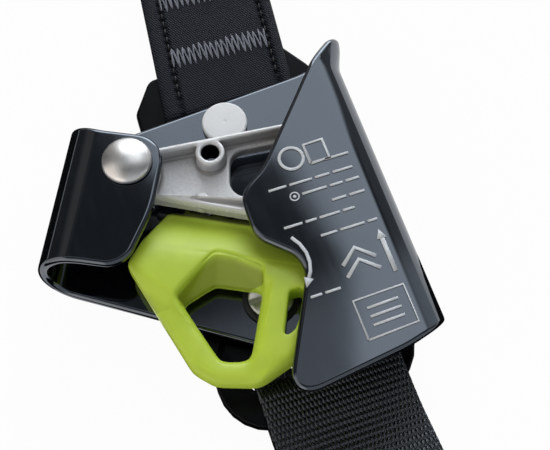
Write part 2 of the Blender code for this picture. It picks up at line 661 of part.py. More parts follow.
cut(screw, box("screw_slot", SCREW_X - SCREW_HEAD_R * 2, SCREW_X + SCREW_HEAD_R * 2,
               SCREW_Y - SCREW_SLOT / 2, SCREW_Y + SCREW_SLOT / 2, SCREW_TOP - SCREW_HEAD_RISE / 2,
               SCREW_TOP + SHEET))
nut = rod("screw_nut", SCREW_X, SCREW_Y, NUT_R, SEAT, SEAT + NUT_THICK, 6, plain_steel)
cut(nut, rod("nut_bore", SCREW_X, SCREW_Y, SCREW_R + SEAT, -SHEET, FRAME_THICK, 24))

# Webbing: each strap is one ribbon that goes round its bar and is laid back on itself.
strap_mid = STRAP_THICK / 2
rear_z = bar_back - SEAT - strap_mid
front_z = FRAME_THICK + SEAT + strap_mid
lap_z = front_z - STRAP_THICK - SEAT
wrap_r = (front_z - rear_z) / 2
wrap_z = (front_z + rear_z) / 2


def strap(name, bar_edge, bar_end, end, lean):
    # bar_edge is the bar's edge at the slot, bar_end the frame's edge; both are measured outwards.
    path = [(end - TAIL_BACK, lap_z)]
    for step in range(7):
        share = step / 6
        ease = share * share * (3 - 2 * share)
        path.append((bar_end + SWING + STRAP_MEET * (1 - share), lap_z + (rear_z - lap_z) * ease))
    path.append((bar_edge + SEAT, rear_z))
    for step in range(1, 6):
        angle = math.pi * step / 6
        path.append((bar_edge + SEAT - wrap_r * math.sin(angle), wrap_z - wrap_r * math.cos(angle)))
    path.append((bar_edge + SEAT, front_z))
    path.append((bar_end, front_z))
    path.append((end, front_z))
    flip = 1 if end > 0 else -1
    work = bmesh.new()
    rows = []
    for along, z in path:
        drift = SLOT_SHIFT + lean * max(0.0, along - bar_edge - SEAT)
        half = STRAP_WIDTH / 2 * flip
        rows.append([work.verts.new((drift - half, along, z)), work.verts.new((drift + half, along, z))])
    for first, second in zip(rows, rows[1:]):
        work.faces.new((first[0], first[1], second[1], second[0]))
    bmesh.ops.recalc_face_normals(work, faces=work.faces)
    mesh = bpy.data.meshes.new(name)
    work.to_mesh(mesh)
    work.free()
    return mesh


def ribbon(name, mesh):
    made = placed(name, mesh, black_webbing)
    thick = made.modifiers.new("webbing", "SOLIDIFY")
    thick.thickness = STRAP_THICK
    thick.offset = 0
    thick.use_even_offset = True
    return made


ribbon("upper_strap", strap("upper_strap", upper_edge, top, UPPER_STRAP_END, STRAP_LEAN))
lower_mesh = strap("lower_strap", -lower_edge, top, LOWER_STRAP_END, 0)
lower_mesh.transform(Matrix.Diagonal((1, -1, 1, 1)))
lower_mesh.flip_normals()
ribbon("lower_strap", lower_mesh)

# Pivot: domed rivet through ear, cam and back wall, with its bush and washers
dome_seat = FLAP_FRONT + SEAT
roll_x = DOME_R - DOME_EDGE
crown_r = (roll_x * roll_x + DOME_RISE * DOME_RISE - DOME_EDGE * DOME_EDGE) / (2 * (DOME_RISE - DOME_EDGE))
crown_span = math.asin(roll_x / (crown_r - DOME_EDGE))
tail_seat = BODY_BACK - SEAT - TAIL_WASHER_THICK - SEAT
dome = []
for step in range(5):
    angle = crown_span * step / 4
    dome.append((crown_r * math.sin(angle), dome_seat + DOME_RISE - crown_r * (1 - math.cos(angle))))
for step in range(1, 5):
    angle = crown_span + (math.pi / 2 - crown_span) * step / 4
    dome.append((roll_x + DOME_EDGE * math.sin(angle), dome_seat + DOME_EDGE * math.cos(angle)))
turned("pivot_rivet", PIVOT_X, PIVOT_Y, dome + [
    (AXLE_R, dome_seat), (AXLE_R, tail_seat), (TAIL_R, tail_seat), (TAIL_R, tail_seat - TAIL_RISE / 2),
    (TAIL_R - TAIL_RISE / 2, tail_seat - TAIL_RISE), (0, tail_seat - TAIL_RISE)], bright_steel, steps=40)
ring("pivot_tail_washer", PIVOT_X, PIVOT_Y, AXLE_R + SEAT, TAIL_WASHER_R, tail_seat + SEAT,
     tail_seat + SEAT + TAIL_WASHER_THICK, plain_steel)
thrust_r = AXLE_R + SLIP + THRUST_WALL
ring("cam_washer_back", PIVOT_X, PIVOT_Y, AXLE_R + SLIP, thrust_r, BODY_IN + SEAT,
     BODY_IN + SEAT + THRUST_THICK, bronze)
ring("cam_washer_front", PIVOT_X, PIVOT_Y, AXLE_R + SLIP, thrust_r, FLAP_IN - SEAT - THRUST_THICK,
     FLAP_IN - SEAT, bronze)
bush_in = AXLE_R + SLIP
bush_out = bush_in + BUSH_WALL
bush = ring("cam_bush", PIVOT_X, PIVOT_Y, bush_in, bush_out, HUB_BACK, HUB_FRONT, bronze)

# Cam: outline block, hollowed from the front to a web, with hub, tubular boss, window and teeth
tooth_x = CHANNEL_X + CHANNEL / 2 - TOOTH_GAP - TOOTH_FACE_R
tooth_arc = []
for step in range(9):
    angle = TOOTH_TOP + (TOOTH_FOOT - TOOTH_TOP) * step / 8
    tooth_arc.append((tooth_x + TOOTH_FACE_R * math.cos(angle),
                      TOOTH_Y + TOOTH_FACE_R * math.sin(angle), 0))
foot_x = tooth_arc[-1][0] - 3.0 * MM
cam = slab("cam", [(PIVOT_X, rib_y(PIVOT_X), 1.0 * MM), (PIVOT_X, flange_y(PIVOT_X) + 2.0 * MM, 1.0 * MM),
                   (foot_x, flange_y(foot_x), 2.0 * MM)] + tooth_arc[::-1], CAM_BACK, CAM_FRONT, cast_steel)
round_edges(cam, CAM_EDGE, 2, 40)
block_x = CAM_RIGHT + 4.0 * MM - TOOTH_BLOCK
pocket_left = PIVOT_X + POCKET_INSET
pocket = slab("cam_pocket", [(pocket_left, rib_y(pocket_left) - RIB, 1.5 * MM),
                             (pocket_left, flange_top_y(pocket_left), 1.5 * MM),
                             (block_x, flange_top_y(block_x), 2.5 * MM),
                             (block_x, rib_y(block_x) - RIB, 2.5 * MM)], WEB_FRONT, CAM_FRONT + SHEET)
window_right = block_x - RIB / 2
window_top = -RIB - WINDOW_TOP_DROP
window = slab("cam_window", [
    (WINDOW_LEFT, flange_top_y(WINDOW_LEFT) + WINDOW_FOOT_RISE, WINDOW_ROUND),
    (window_right, flange_top_y(window_right) + WINDOW_FOOT_RISE, WINDOW_ROUND / 2),
    (window_right, rib_y(window_right) + window_top, WINDOW_ROUND / 2),
    (BOSS_X + BOSS_R + RIB, rib_y(WINDOW_LEFT) + window_top, WINDOW_ROUND)],
    CAM_BACK - SHEET, CAM_FRONT + SHEET)
hub = rod("cam_hub", PIVOT_X, PIVOT_Y, HUB_R, HUB_BACK, HUB_FRONT, 40)
boss = rod("cam_boss", BOSS_X, BOSS_Y, BOSS_R, CAM_BACK + CAM_EDGE, CAM_FRONT - 0.05 * MM, 28)
coil_r = bush_out + SPRING_ROOM + SPRING_WIRE / 2
coil_low = HUB_BACK + SPRING_WIRE
coil_high = coil_low + SPRING_TURNS * SPRING_PITCH
coil_bore = rod("cam_spring_bore", PIVOT_X, PIVOT_Y, coil_r + SPRING_WIRE / 2 + SPRING_ROOM,
                HUB_BACK - SHEET, coil_high + SPRING_WIRE)
lug_room = SWING / 2
recess = []
for x, rise in ((PIN_X - RECESS_LEFT, -RECESS_RISE), (PIN_X + RECESS_RIGHT, -RECESS_RISE),
                (PIN_X + RECESS_RIGHT, RECESS_RISE), (PIN_X - RECESS_LEFT, RECESS_RISE - lug_room)):
    recess.append((x, flange_y(x) + rise, lug_room))
under = slab("trigger_recess", recess, CAM_BACK - SHEET, FLANGE_BACK)
lug_sink = rod("lug_recess", PIN_X, PIN_Y, LUG_R + lug_room, CAM_BACK - SHEET, FLANGE_BACK, 36)
pin_top = FLANGE_BACK + PIN_GRIP
pin_hole = rod("pin_hole", PIN_X, PIN_Y, PIN_R + SEAT, CAM_BACK - SHEET, pin_top + SEAT, 24)
leg_angle = 2 * math.pi * SPRING_TURNS
leg_x = PIVOT_X + coil_r * math.cos(leg_angle)
leg_y = PIVOT_Y + coil_r * math.sin(leg_angle)
leg_hole = rod("spring_leg_hole", leg_x, leg_y, SPRING_WIRE / 2 + SEAT, HUB_BACK,
               coil_high + SPRING_LEG + SPRING_WIRE, 12)
wall_leg = rod("wall_leg_hole", PIVOT_X + coil_r, PIVOT_Y, SPRING_WIRE / 2 + SEAT, BODY_BACK - SHEET,
               BODY_IN + SHEET, 12)
teeth_work = bmesh.new()
for row in range(TOOTH_ROWS):
    angle = TOOTH_TOP + (TOOTH_FOOT - TOOTH_TOP) * (row + 0.7) / (TOOTH_ROWS + 0.4)
    offsets = (-1.5, -0.5, 0.5, 1.5) if row % 2 else (-1, 0, 1)
    aim = angle - TOOTH_LEAN
    root = TOOTH_FACE_R + TOOTH_RISE / 2 - 0.35 * MM
    for offset in offsets:
        place = Vector((tooth_x + root * math.cos(angle), TOOTH_Y + root * math.sin(angle),
                        (CAM_BACK + CAM_FRONT) / 2 + offset * TOOTH_PITCH))
        turn = Matrix.Rotation(aim, 4, "Z") @ Matrix.Rotation(math.pi / 2, 4, "Y")
        bmesh.ops.create_cone(teeth_work, cap_ends=True, segments=6, radius1=TOOTH_R,
                              radius2=TOOTH_R * 0.12, depth=TOOTH_RISE + 0.7 * MM,
                              matrix=Matrix.Translation(place) @ turn)
teeth_mesh = bpy.data.meshes.new("cam_teeth")
teeth_work.to_mesh(teeth_mesh)
teeth_work.free()
teeth = placed("cam_teeth", teeth_mesh)
cut(cam, pocket)
fuse(cam, hub, boss)
cut(cam, window, under, lug_sink, coil_bore,
    rod("cam_bore", PIVOT_X, PIVOT_Y, bush_out + SEAT, HUB_BACK - SHEET, HUB_FRONT + SHEET),
    rod("boss_bore", BOSS_X, BOSS_Y, BOSS_BORE_R, CAM_BACK - SHEET, CAM_FRONT + SHEET, 28),
    pin_hole, leg_hole)
fuse(cam, teeth)
cut(body, wall_leg)
cam_spring = coil("cam_spring", PIVOT_X, PIVOT_Y, coil_r, SPRING_WIRE, SPRING_TURNS, SPRING_PITCH, coil_low,
                  ((PIVOT_X + coil_r, PIVOT_Y, BODY_BACK + SHEET / 2),
                   (leg_x, leg_y, coil_high + SPRING_LEG)), spring_steel)
adopt(cam_axis, cam, bush)

# Trigger: faceted finger lever with two windows, hung on a pin under the cam's flange
trigger_front = CAM_BACK + TRIGGER_THICK
trigger = slab("trigger", [(HANG_LEFT, flange_y(HANG_LEFT) + TUCK_LEFT, HANG_ROUND), TRIGGER_ELBOW,
                           TRIGGER_HEEL, TRIGGER_FOOT_LEFT, TRIGGER_FOOT, TRIGGER_CHIN, TRIGGER_SIDE_LOW,
                           TRIGGER_SIDE, (HANG_RIGHT, flange_y(HANG_RIGHT) + TUCK_RIGHT, HANG_ROUND)],
               CAM_BACK, trigger_front, lime_plastic)
round_edges(trigger, TRIGGER_EDGE, 3, 50)
edge = Vector((1.0, FLANGE_SLOPE)).normalized()
away = Vector((edge.y, -edge.x))


def hull(name, points):
    # The closed convex body round a set of points, as a cutter.
    work = bmesh.new()
    for point in points:
        work.verts.new(point)
    bmesh.ops.convex_hull(work, input=work.verts)
    mesh = bpy.data.meshes.new(name)
    work.to_mesh(mesh)
    work.free()
    return placed(name, mesh)


reach = TRIGGER_SIDE[0] - TRIGGER_ELBOW[0]
above = trigger_front + SHEET
facet_points = []
for along in (-reach, reach):
    for out in (-reach, 0, reach):
        place = Vector(FLANGE_LEFT) + edge * along + away * (out + FACET_START)
        facet_points.append((place.x, place.y, LUG_FRONT + max(0, out) * TRIGGER_RAMP))
        facet_points.append((place.x, place.y, above + reach))
upper_facet = hull("trigger_facet", facet_points)
ridge_start = Vector(TRIGGER_ELBOW[:2])
ridge = (Vector(FINGER_LEFT[:2]) - ridge_start).normalized()
ridge_out = Vector((ridge.y, -ridge.x))
ring_points = []
for along in (-reach, reach):
    for out, drop in ((-RING_RAMP, -RING_DROP), (RING_RAMP, RING_DROP), (reach, RING_DROP)):
        place = ridge_start + ridge * along + ridge_out * out
        ring_points.append((place.x, place.y, trigger_front - drop))
        ring_points.append((place.x, place.y, above + RING_DROP))
ring_level = hull("trigger_ring_level", ring_points)
scoop_low = CAM_BACK + SCOOP_FLOOR
scoop_points = []
for corner in (SCOOP_TOP, SCOOP_LEFT, SCOOP_RIGHT):
    scoop_points.append((*corner, trigger_front))
for corner in (FINGER_LEFT, FINGER_RIGHT, FINGER_TOP):
    scoop_points.append((*corner[:2], scoop_low))
scoop_points += [(x, y, above) for x, y, z in scoop_points]
finger_scoop = hull("finger_scoop", scoop_points)
finger_corners = [FINGER_LEFT, FINGER_FOOT_LEFT, FINGER_FOOT_RIGHT, FINGER_RIGHT, FINGER_TOP]
finger_window = slab("finger_window", finger_corners, CAM_BACK - SHEET, above)
finger_middle = sum((Vector(corner[:2]) for corner in finger_corners), Vector((0, 0))) / len(finger_corners)
flare_points = []
for point in rounded(finger_corners):
    outward = (point - finger_middle).normalized()
    flare_points.append((*point, trigger_front - RING_DROP - FINGER_FLARE))
    flare_points.append((*(point + outward * (FINGER_FLARE + SHEET)), above - RING_DROP))
finger_flare = hull("finger_flare", flare_points)
side_window = slab("side_window", [GAP_TOP_LEFT, GAP_FOOT_LEFT, GAP_FOOT_RIGHT, GAP_RIGHT, GAP_TOP_RIGHT],
                   CAM_BACK - SHEET, above)
lug = rod("trigger_lug", PIN_X, PIN_Y, LUG_R, CAM_BACK, LUG_FRONT - LUG_STEP, 36)
tongue_left = PIN_X - LUG_R
tongue_right = PIN_X + LUG_R
tongue = slab("trigger_tongue", [
    (tongue_left, PIN_Y, 0), (tongue_left - 1.0 * MM, flange_y(tongue_left) - 6.0 * MM, 0),
    (tongue_right + 1.0 * MM, flange_y(tongue_right) - 6.0 * MM, 0),
    (tongue_right, flange_y(tongue_right) + 3.0 * MM, 0)],
    CAM_BACK + LUG_STEP, LUG_FRONT - 2 * LUG_STEP)
tcoil_r = PIN_R + SEAT + SPRING_ROOM + TSPRING_WIRE / 2
spring_sink = rod("trigger_spring_sink", PIN_X, PIN_Y, tcoil_r + TSPRING_WIRE / 2 + SPRING_ROOM,
                  CAM_BACK + LUG_FLOOR, LUG_FRONT + SHEET)
cut(trigger, upper_facet, ring_level, finger_scoop, finger_window, finger_flare, side_window)
fuse(trigger, tongue, lug)
cut(trigger, spring_sink,
    rod("trigger_bore", PIN_X, PIN_Y, PIN_R + SLIP, CAM_BACK - SHEET, LUG_FRONT + SHEET, 24))
adopt(trigger_axis, trigger)

washer_top = CAM_BACK - SLIP
pin_seat = washer_top - PIN_WASHER_THICK - SLIP
pin = turned("trigger_pin", PIN_X, PIN_Y, [
    (0, pin_top), (PIN_R * 0.8, pin_top), (PIN_R, pin_top - PIN_R * 0.2), (PIN_R, pin_seat),
    (PIN_HEAD_R, pin_seat), (PIN_HEAD_R, pin_seat - PIN_HEAD_RISE), (0, pin_seat - PIN_HEAD_RISE)],
    plain_steel, steps=24)
pin_washer = ring("trigger_pin_washer", PIN_X, PIN_Y, PIN_R + SLIP, PIN_HEAD_R,
                  washer_top - PIN_WASHER_THICK, washer_top, bronze, 24)
tcoil_low = CAM_BACK + LUG_FLOOR + SEAT + TSPRING_WIRE / 2
tcoil_high = tcoil_low + TSPRING_TURNS * TSPRING_PITCH
tleg_angle = 2 * math.pi * TSPRING_TURNS
trigger_spring = coil("trigger_spring", PIN_X, PIN_Y, tcoil_r, TSPRING_WIRE, TSPRING_TURNS, TSPRING_PITCH,
                      tcoil_low,
                      ((PIN_X + tcoil_r, PIN_Y - TSPRING_WIRE, tcoil_low),
                       (PIN_X + tcoil_r * math.cos(tleg_angle) - TSPRING_WIRE,
                        PIN_Y + tcoil_r * math.sin(tleg_angle), tcoil_high)), spring_steel)
adopt(cam_axis, pin, pin_washer, trigger_spring)
bpy.context.view_layer.update()
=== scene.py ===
import math
import random

import bmesh
import bpy
from mathutils import Matrix, Vector


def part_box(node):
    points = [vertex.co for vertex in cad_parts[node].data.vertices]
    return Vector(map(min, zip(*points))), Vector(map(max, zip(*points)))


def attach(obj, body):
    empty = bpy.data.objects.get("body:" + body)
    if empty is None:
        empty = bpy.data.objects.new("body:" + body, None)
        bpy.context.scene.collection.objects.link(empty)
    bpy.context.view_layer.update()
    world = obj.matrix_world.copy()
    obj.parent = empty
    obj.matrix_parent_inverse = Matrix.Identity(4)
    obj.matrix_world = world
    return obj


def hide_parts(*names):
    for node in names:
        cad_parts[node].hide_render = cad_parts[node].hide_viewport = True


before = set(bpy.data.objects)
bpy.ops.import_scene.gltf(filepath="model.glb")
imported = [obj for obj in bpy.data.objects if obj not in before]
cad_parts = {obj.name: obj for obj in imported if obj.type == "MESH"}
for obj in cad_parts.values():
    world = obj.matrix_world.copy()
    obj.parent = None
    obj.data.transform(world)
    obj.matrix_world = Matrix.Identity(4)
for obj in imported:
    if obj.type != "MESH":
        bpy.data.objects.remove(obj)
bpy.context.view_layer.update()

mm = 0.001
scene = bpy.context.scene
scene.view_settings.view_transform = "Standard"
print("frame loaded:", len(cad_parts), "nodes")


class Wire:
    # An output socket that takes part in arithmetic.
    def __init__(self, graph, socket):
        self.graph = graph
        self.socket = socket

    def math(self, operation, first, second=0.0):
        return self.graph.node("ShaderNodeMath", {"operation": operation}, {0: first, 1: second})

    def other(self, name):
        return Wire(self.graph, self.socket.node.outputs[name])

    def __add__(self, value):
        return self.math("ADD", self, value)

    def __radd__(self, value):
        return self.math("ADD", value, self)

    def __sub__(self, value):
        return self.math("SUBTRACT", self, value)

    def __rsub__(self, value):
        return self.math("SUBTRACT", value, self)

    def __mul__(self, value):
        return self.math("MULTIPLY", self, value)

    def __rmul__(self, value):
        return self.math("MULTIPLY", value, self)


class Graph:
    # A node tree; every node is made from its type, settings and inputs.
    def __init__(self, tree):
        self.tree = tree

    def node(self, kind, settings=None, inputs=None, output=0):
        made = self.tree.nodes.new(kind)
        for name, value in (settings or {}).items():
            setattr(made, name, value)
        for name, value in (inputs or {}).items():
            self.feed(made.inputs[name], value)
        return Wire(self, made.outputs[output])

    def feed(self, socket, value):
        if isinstance(value, Wire):
            self.tree.links.new(value.socket, socket)
        elif socket.type == "RGBA":
            socket.default_value = (*value, 1.0)
        else:
            socket.default_value = value

    def rise(self, value, low, high, start=0.0, end=1.0):
        # Runs smoothly from start to end while value runs from low to high.
        return self.node("ShaderNodeMapRange", {"interpolation_type": "SMOOTHSTEP"},
                         {"Value": value, "From Min": low, "From Max": high, "To Min": start, "To Max": end})

    def tint(self, share, first, second):
        return self.node("ShaderNodeMix", {"data_type": "RGBA"}, {0: share, 6: first, 7: second}, output=2)


class Finish(Graph):
    # A procedural material in object space.
    def __init__(self, name, sockets):
        self.material = bpy.data.materials.new(name)
        self.material.use_nodes = True
        super().__init__(self.material.node_tree)
        self.shader = self.tree.nodes["Principled BSDF"]
        self.paint(sockets)

    def paint(self, sockets):
        for name, value in sockets.items():
            self.feed(self.shader.inputs[name], value)

    def spots(self, size, detail=2.0, stretch=(1.0, 1.0, 1.0), turn=0.0):
        # Noise whose spots are about this size, in metres.
        where = self.node("ShaderNodeTexCoord", output="Object")
        where = self.node("ShaderNodeMapping", None,
                          {"Vector": where, "Scale": stretch, "Rotation": (0.0, 0.0, turn)})
        return self.node("ShaderNodeTexNoise", None, {"Vector": where, "Scale": 1.0 / size, "Detail": detail})

    def relief(self, height, depth):
        self.paint({"Normal": self.node("ShaderNodeBump", None, {"Distance": depth, "Height": height})})


# Camera, square to the photograph: 24 degrees off the face and turned 18.5 degrees.
view = {"target": Vector((0.0, -0.0059, 0.0169)), "tilt": math.radians(24.0), "turn": math.radians(18.5),
        "reach": 0.300, "lens": 64.8}
towards = Vector((-math.sin(view["tilt"]) * math.sin(view["turn"]),
                  -math.sin(view["tilt"]) * math.cos(view["turn"]), math.cos(view["tilt"])))
right = Vector((math.cos(view["turn"]), -math.sin(view["turn"]), 0.0))
up = towards.cross(right)
lensData = bpy.data.cameras.new("camera")
lensData.lens = view["lens"]
lensData.sensor_width = 36.0
lensData.clip_start = 0.01
camera = bpy.data.objects.new("camera", lensData)
scene.collection.objects.link(camera)
camera.matrix_world = Matrix.Translation(view["target"] + towards * view["reach"]) @ Matrix(
    (right, up, towards)).transposed().to_4x4()
scene.camera = camera

# Studio: a dark ceiling, a soft box to the right that runs on behind, a strong back light and dim sides.
studio = {"ceiling": 0.064, "box": 1.31, "boxLeft": 0.19, "boxMiddle": 0.325, "boxSlant": 0.28,
          "boxTurn": (0.443, 0.468), "boxReach": 0.126, "boxEdge": 0.009, "boxRight": (0.54, 0.68),
          "boxFoot": (0.04, 0.14), "back": 1.08,
          "boxWiden": (0.42, 0.48), "boxWider": 0.15, "backEdge": (0.54, 0.62), "backSlide": 0.3,
          "backFrom": 0.58,
          "backLeft": (-0.02, 0.08), "backRight": (0.75, 0.9), "rear": 3.4, "rearEdge": (0.63, 0.74),
          "rearFoot": (0.86, 0.95), "fill": 0.40, "fillTop": (0.29, 0.34), "fillLeft": (-0.5, -0.3),
          "left": 0.95, "leftEdge": (0.35, 0.6),
          "leftTop": (0.3, 0.45), "corner": 0.15, "cornerFoot": (0.42, 0.52), "cornerEdge": (0.02, 0.22),
          "cornerEnd": (0.36, 0.56), "near": 0.42, "nearEdge": (0.3, 0.5), "side": 0.12,
          "sideEdge": (0.66, 0.8)}
world = bpy.data.worlds.new("studio")
world.use_nodes = True
scene.world = world
sky = Graph(world.node_tree)
skyX = sky.node("ShaderNodeSeparateXYZ", None,
                {"Vector": sky.node("ShaderNodeTexCoord", output="Generated")}, output="X")
skyY = skyX.other("Y")
backSide = skyX + (skyY - studio["backFrom"]) * studio["backSlide"]
backShare = (sky.rise(skyY, *studio["backEdge"]) * sky.rise(backSide, *studio["backLeft"])
             * sky.rise(skyX, *studio["backRight"], 1.0, 0.0))
boxSlant = skyY.math("ABSOLUTE", skyY - studio["boxMiddle"]) * studio["boxSlant"]
boxSide = skyX + boxSlant + sky.rise(skyY, *studio["boxTurn"], 0.0, studio["boxReach"]) - studio["boxLeft"]
boxFar = skyX - sky.rise(skyY, *studio["boxWiden"], 0.0, studio["boxWider"])
boxShare = (sky.rise(boxSide, -studio["boxEdge"], studio["boxEdge"])
            * sky.rise(boxFar, *studio["boxRight"], 1.0, 0.0)
            * sky.rise(skyY, *studio["boxFoot"]) * (1.0 - backShare))
fillShare = (sky.rise(skyY, *studio["fillTop"], 1.0, 0.0) * sky.rise(skyY, *studio["boxFoot"])
             * sky.rise(skyX, *studio["fillLeft"]) * (1.0 - boxShare))
leftShare = sky.rise(0.0 - skyX, *studio["leftEdge"]) * sky.rise(skyY, *studio["leftTop"], 1.0, 0.0)
cornerShare = (sky.rise(skyY, *studio["cornerFoot"]) * sky.rise(0.0 - skyX, *studio["cornerEdge"])
               * sky.rise(0.0 - skyX, *studio["cornerEnd"], 1.0, 0.0))
rearShare = sky.rise(skyY, *studio["rearEdge"]) * sky.rise(skyY, *studio["rearFoot"], 1.0, 0.0) * backShare
nearShare = sky.rise(0.0 - skyY, *studio["nearEdge"])
sideShare = sky.rise(skyX, *studio["sideEdge"])
glow = (studio["ceiling"] + backShare * studio["back"] + boxShare * studio["box"] + fillShare * studio["fill"]
        + leftShare * studio["left"] + cornerShare * studio["corner"] + nearShare * studio["near"]
        + sideShare * studio["side"] + rearShare * studio["rear"])
background = world.node_tree.nodes["Background"]
warmShare = leftShare.math("MAXIMUM", leftShare, cornerShare)
sky.feed(background.inputs["Color"], sky.tint(warmShare, (0.96, 1.0, 1.04), (1.0, 0.93, 0.86)))
sky.feed(background.inputs["Strength"], glow)

# Floor: white to the eye and in reflections, and it keeps a faint shadow.
ground = {"reach": 3.0, "drop": 0.4 * mm, "white": 0.9, "shine": 0.96}
floorMesh = bmesh.new()
bmesh.ops.create_grid(floorMesh, x_segments=1, y_segments=1, size=ground["reach"],
                      matrix=Matrix.Translation((0.0, 0.0, -ground["drop"])))
floorData = bpy.data.meshes.new("floor")
floorMesh.to_mesh(floorData)
floorMesh.free()
floor = bpy.data.objects.new("floor", floorData)
scene.collection.objects.link(floor)
floorLook = Finish("floor", {"Base Color": (ground["white"],) * 3, "Roughness": 0.9,
                             "Specular IOR Level": 0.0})
seen = floorLook.node("ShaderNodeLightPath", output="Is Camera Ray")
seenShare = seen.math("MAXIMUM", seen, seen.other("Is Glossy Ray"))
seenShare = seen.math("MAXIMUM", seenShare, seen.other("Is Transmission Ray"))
shine = floorLook.node("ShaderNodeEmission", None, {"Strength": 1.0})
plain = Wire(floorLook, floorLook.shader.outputs[0])
mixed = floorLook.node("ShaderNodeMixShader", None, {0: seenShare * ground["shine"], 1: plain, 2: shine})
floorLook.feed(floorLook.tree.nodes["Material Output"].inputs["Surface"], mixed)
floorData.materials.append(floorLook.material)

# Black cards on the floor to the left and in front, kept out of the picture and seen in reflections only
cards = {"leftTurn": math.radians(26.3), "leftCorner": Vector((-0.0522, 0.0425, -0.0002)), "leftSize": 0.5,
         "leftPast": 0.06, "nearFrom": -0.022, "nearWide": 0.5, "nearLong": 0.4}
cardMesh = bmesh.new()
bmesh.ops.create_grid(cardMesh, x_segments=1, y_segments=1, size=0.5, matrix=(
    Matrix.Translation(cards["leftCorner"]) @ Matrix.Rotation(-cards["leftTurn"], 4, "Z")
    @ Matrix.Scale(cards["leftSize"], 4)
    @ Matrix.Translation((-0.5, 0.5 - cards["leftPast"] / cards["leftSize"], 0.0))))
bmesh.ops.create_grid(cardMesh, x_segments=1, y_segments=1, size=0.5, matrix=(
    Matrix.Translation((0.0, cards["nearFrom"] - cards["nearLong"] / 2, cards["leftCorner"].z / 2))
    @ Matrix.Diagonal((cards["nearWide"], cards["nearLong"], 1.0, 1.0))))
cardData = bpy.data.meshes.new("cards")
cardMesh.to_mesh(cardData)
cardMesh.free()
blackCards = bpy.data.objects.new("cards", cardData)
scene.collection.objects.link(blackCards)
cardLook = Finish("cards", {"Base Color": (0.01, 0.01, 0.01), "Roughness": 0.9, "Specular IOR Level": 0.0})
cardData.materials.append(cardLook.material)
blackCards.visible_camera = False
blackCards.visible_diffuse = False
blackCards.visible_shadow = False
blackCards.visible_transmission = False
print("camera, studio and floor placed")

# Finishes
blackSheet = Finish("blackSheet", {"Base Color": (0.0045, 0.0050, 0.0065), "IOR": 2.2,
                                   "Specular Tint": (0.76, 0.86, 1.0)})
sheetCloud = blackSheet.spots(14 * mm, 3.0)
sheetGrain = blackSheet.spots(0.35 * mm, 2.0)
sheetScuff = blackSheet.spots(2.2 * mm, 4.0, (1.0, 0.12, 1.0), 0.4)
blackSheet.paint({
    "Roughness": blackSheet.rise(sheetCloud * 0.6 + sheetScuff * 0.4, 0.3, 0.7, 0.06, 0.09),
    "Base Color": blackSheet.tint(blackSheet.rise(sheetScuff, 0.45, 0.75), (0.0020, 0.0026, 0.0036),
                                  (0.0045, 0.0052, 0.0064))})
blackSheet.relief(sheetGrain, 0.0015 * mm)

blackFrame = Finish("blackFrame", {"IOR": 1.2, "Specular Tint": (0.85, 0.93, 1.0)})
frameCloud = blackFrame.spots(6 * mm, 3.0)
blackFrame.paint({"Roughness": blackFrame.rise(frameCloud, 0.3, 0.7, 0.24, 0.38),
                  "Base Color": blackFrame.tint(frameCloud, (0.0012, 0.0014, 0.0018),
                                                (0.003, 0.0034, 0.004))})
blackFrame.relief(blackFrame.spots(0.5 * mm, 2.0), 0.006 * mm)

castSteel = Finish("castSteel", {})
castGrain = castSteel.spots(0.28 * mm, 3.0)
castPit = castSteel.spots(0.9 * mm, 3.0)
castCloud = castSteel.spots(7 * mm, 3.0)
castEdgesAndShade = castSteel.node("ShaderNodeAttribute", {"attribute_name": "edgesAndShade"}, output="Fac")
castLip = castSteel.node("ShaderNodeAttribute", {"attribute_name": "lip"}, output="Fac")
castBlast = castSteel.tint(castSteel.rise(castCloud * 0.5 + castPit * 0.5, 0.36, 0.64),
                           (0.60, 0.60, 0.61), (0.78, 0.78, 0.79))
# Painted shade: hollows and creases go grey, marked faces darken and the bore's inside goes near black;
# standing edges go to an even light grey.
castHollowShade = castSteel.tint(castSteel.rise(castEdgesAndShade, 0.1, 0.46), (0.34, 0.335, 0.33), castBlast)
castEdge = castSteel.tint(castSteel.rise(castEdgesAndShade, 0.54, 0.9), castHollowShade, (0.68, 0.68, 0.68))
castSteel.paint({
    "Base Color": castSteel.tint(castSteel.rise(castEdgesAndShade, -0.8, -0.2), (0.006, 0.006, 0.007), castEdge),
    "Metallic": castSteel.rise(castLip, 0.0, 1.0, 0.6, 0.1),
    "Roughness": castSteel.rise(castPit, 0.3, 0.7, 0.42, 0.58)})
castSteel.relief(castGrain * 0.6 + castPit * 0.4, 0.05 * mm)

domeSteel = Finish("domeSteel", {"Metallic": 1.0})
domeRub = domeSteel.spots(0.9 * mm, 5.0, (1.0, 0.35, 1.0), 0.5)
domeSpeck = domeSteel.spots(0.35 * mm, 3.0)
domeSteel.paint({
    "Base Color": domeSteel.tint(domeSteel.rise(domeRub, 0.4, 0.7), (0.78, 0.77, 0.76), (0.73, 0.72, 0.70)),
    "Roughness": domeSteel.rise(domeRub * 0.6 + domeSpeck * 0.4, 0.35, 0.68, 0.32, 0.38)})
domeSteel.relief(domeRub * 0.7 + domeSpeck * 0.3, 0.002 * mm)

rivetAlloy = Finish("rivetAlloy", {"Metallic": 0.0})
rivetSpeck = rivetAlloy.spots(0.3 * mm, 3.0)
rivetAlloy.paint({
    "Base Color": rivetAlloy.tint(rivetAlloy.rise(rivetSpeck, 0.35, 0.65), (0.90, 0.91, 0.93),
                                  (0.97, 0.98, 0.98)),
    "Roughness": rivetAlloy.rise(rivetSpeck, 0.3, 0.7, 0.42, 0.55)})
rivetAlloy.relief(rivetSpeck, 0.01 * mm)

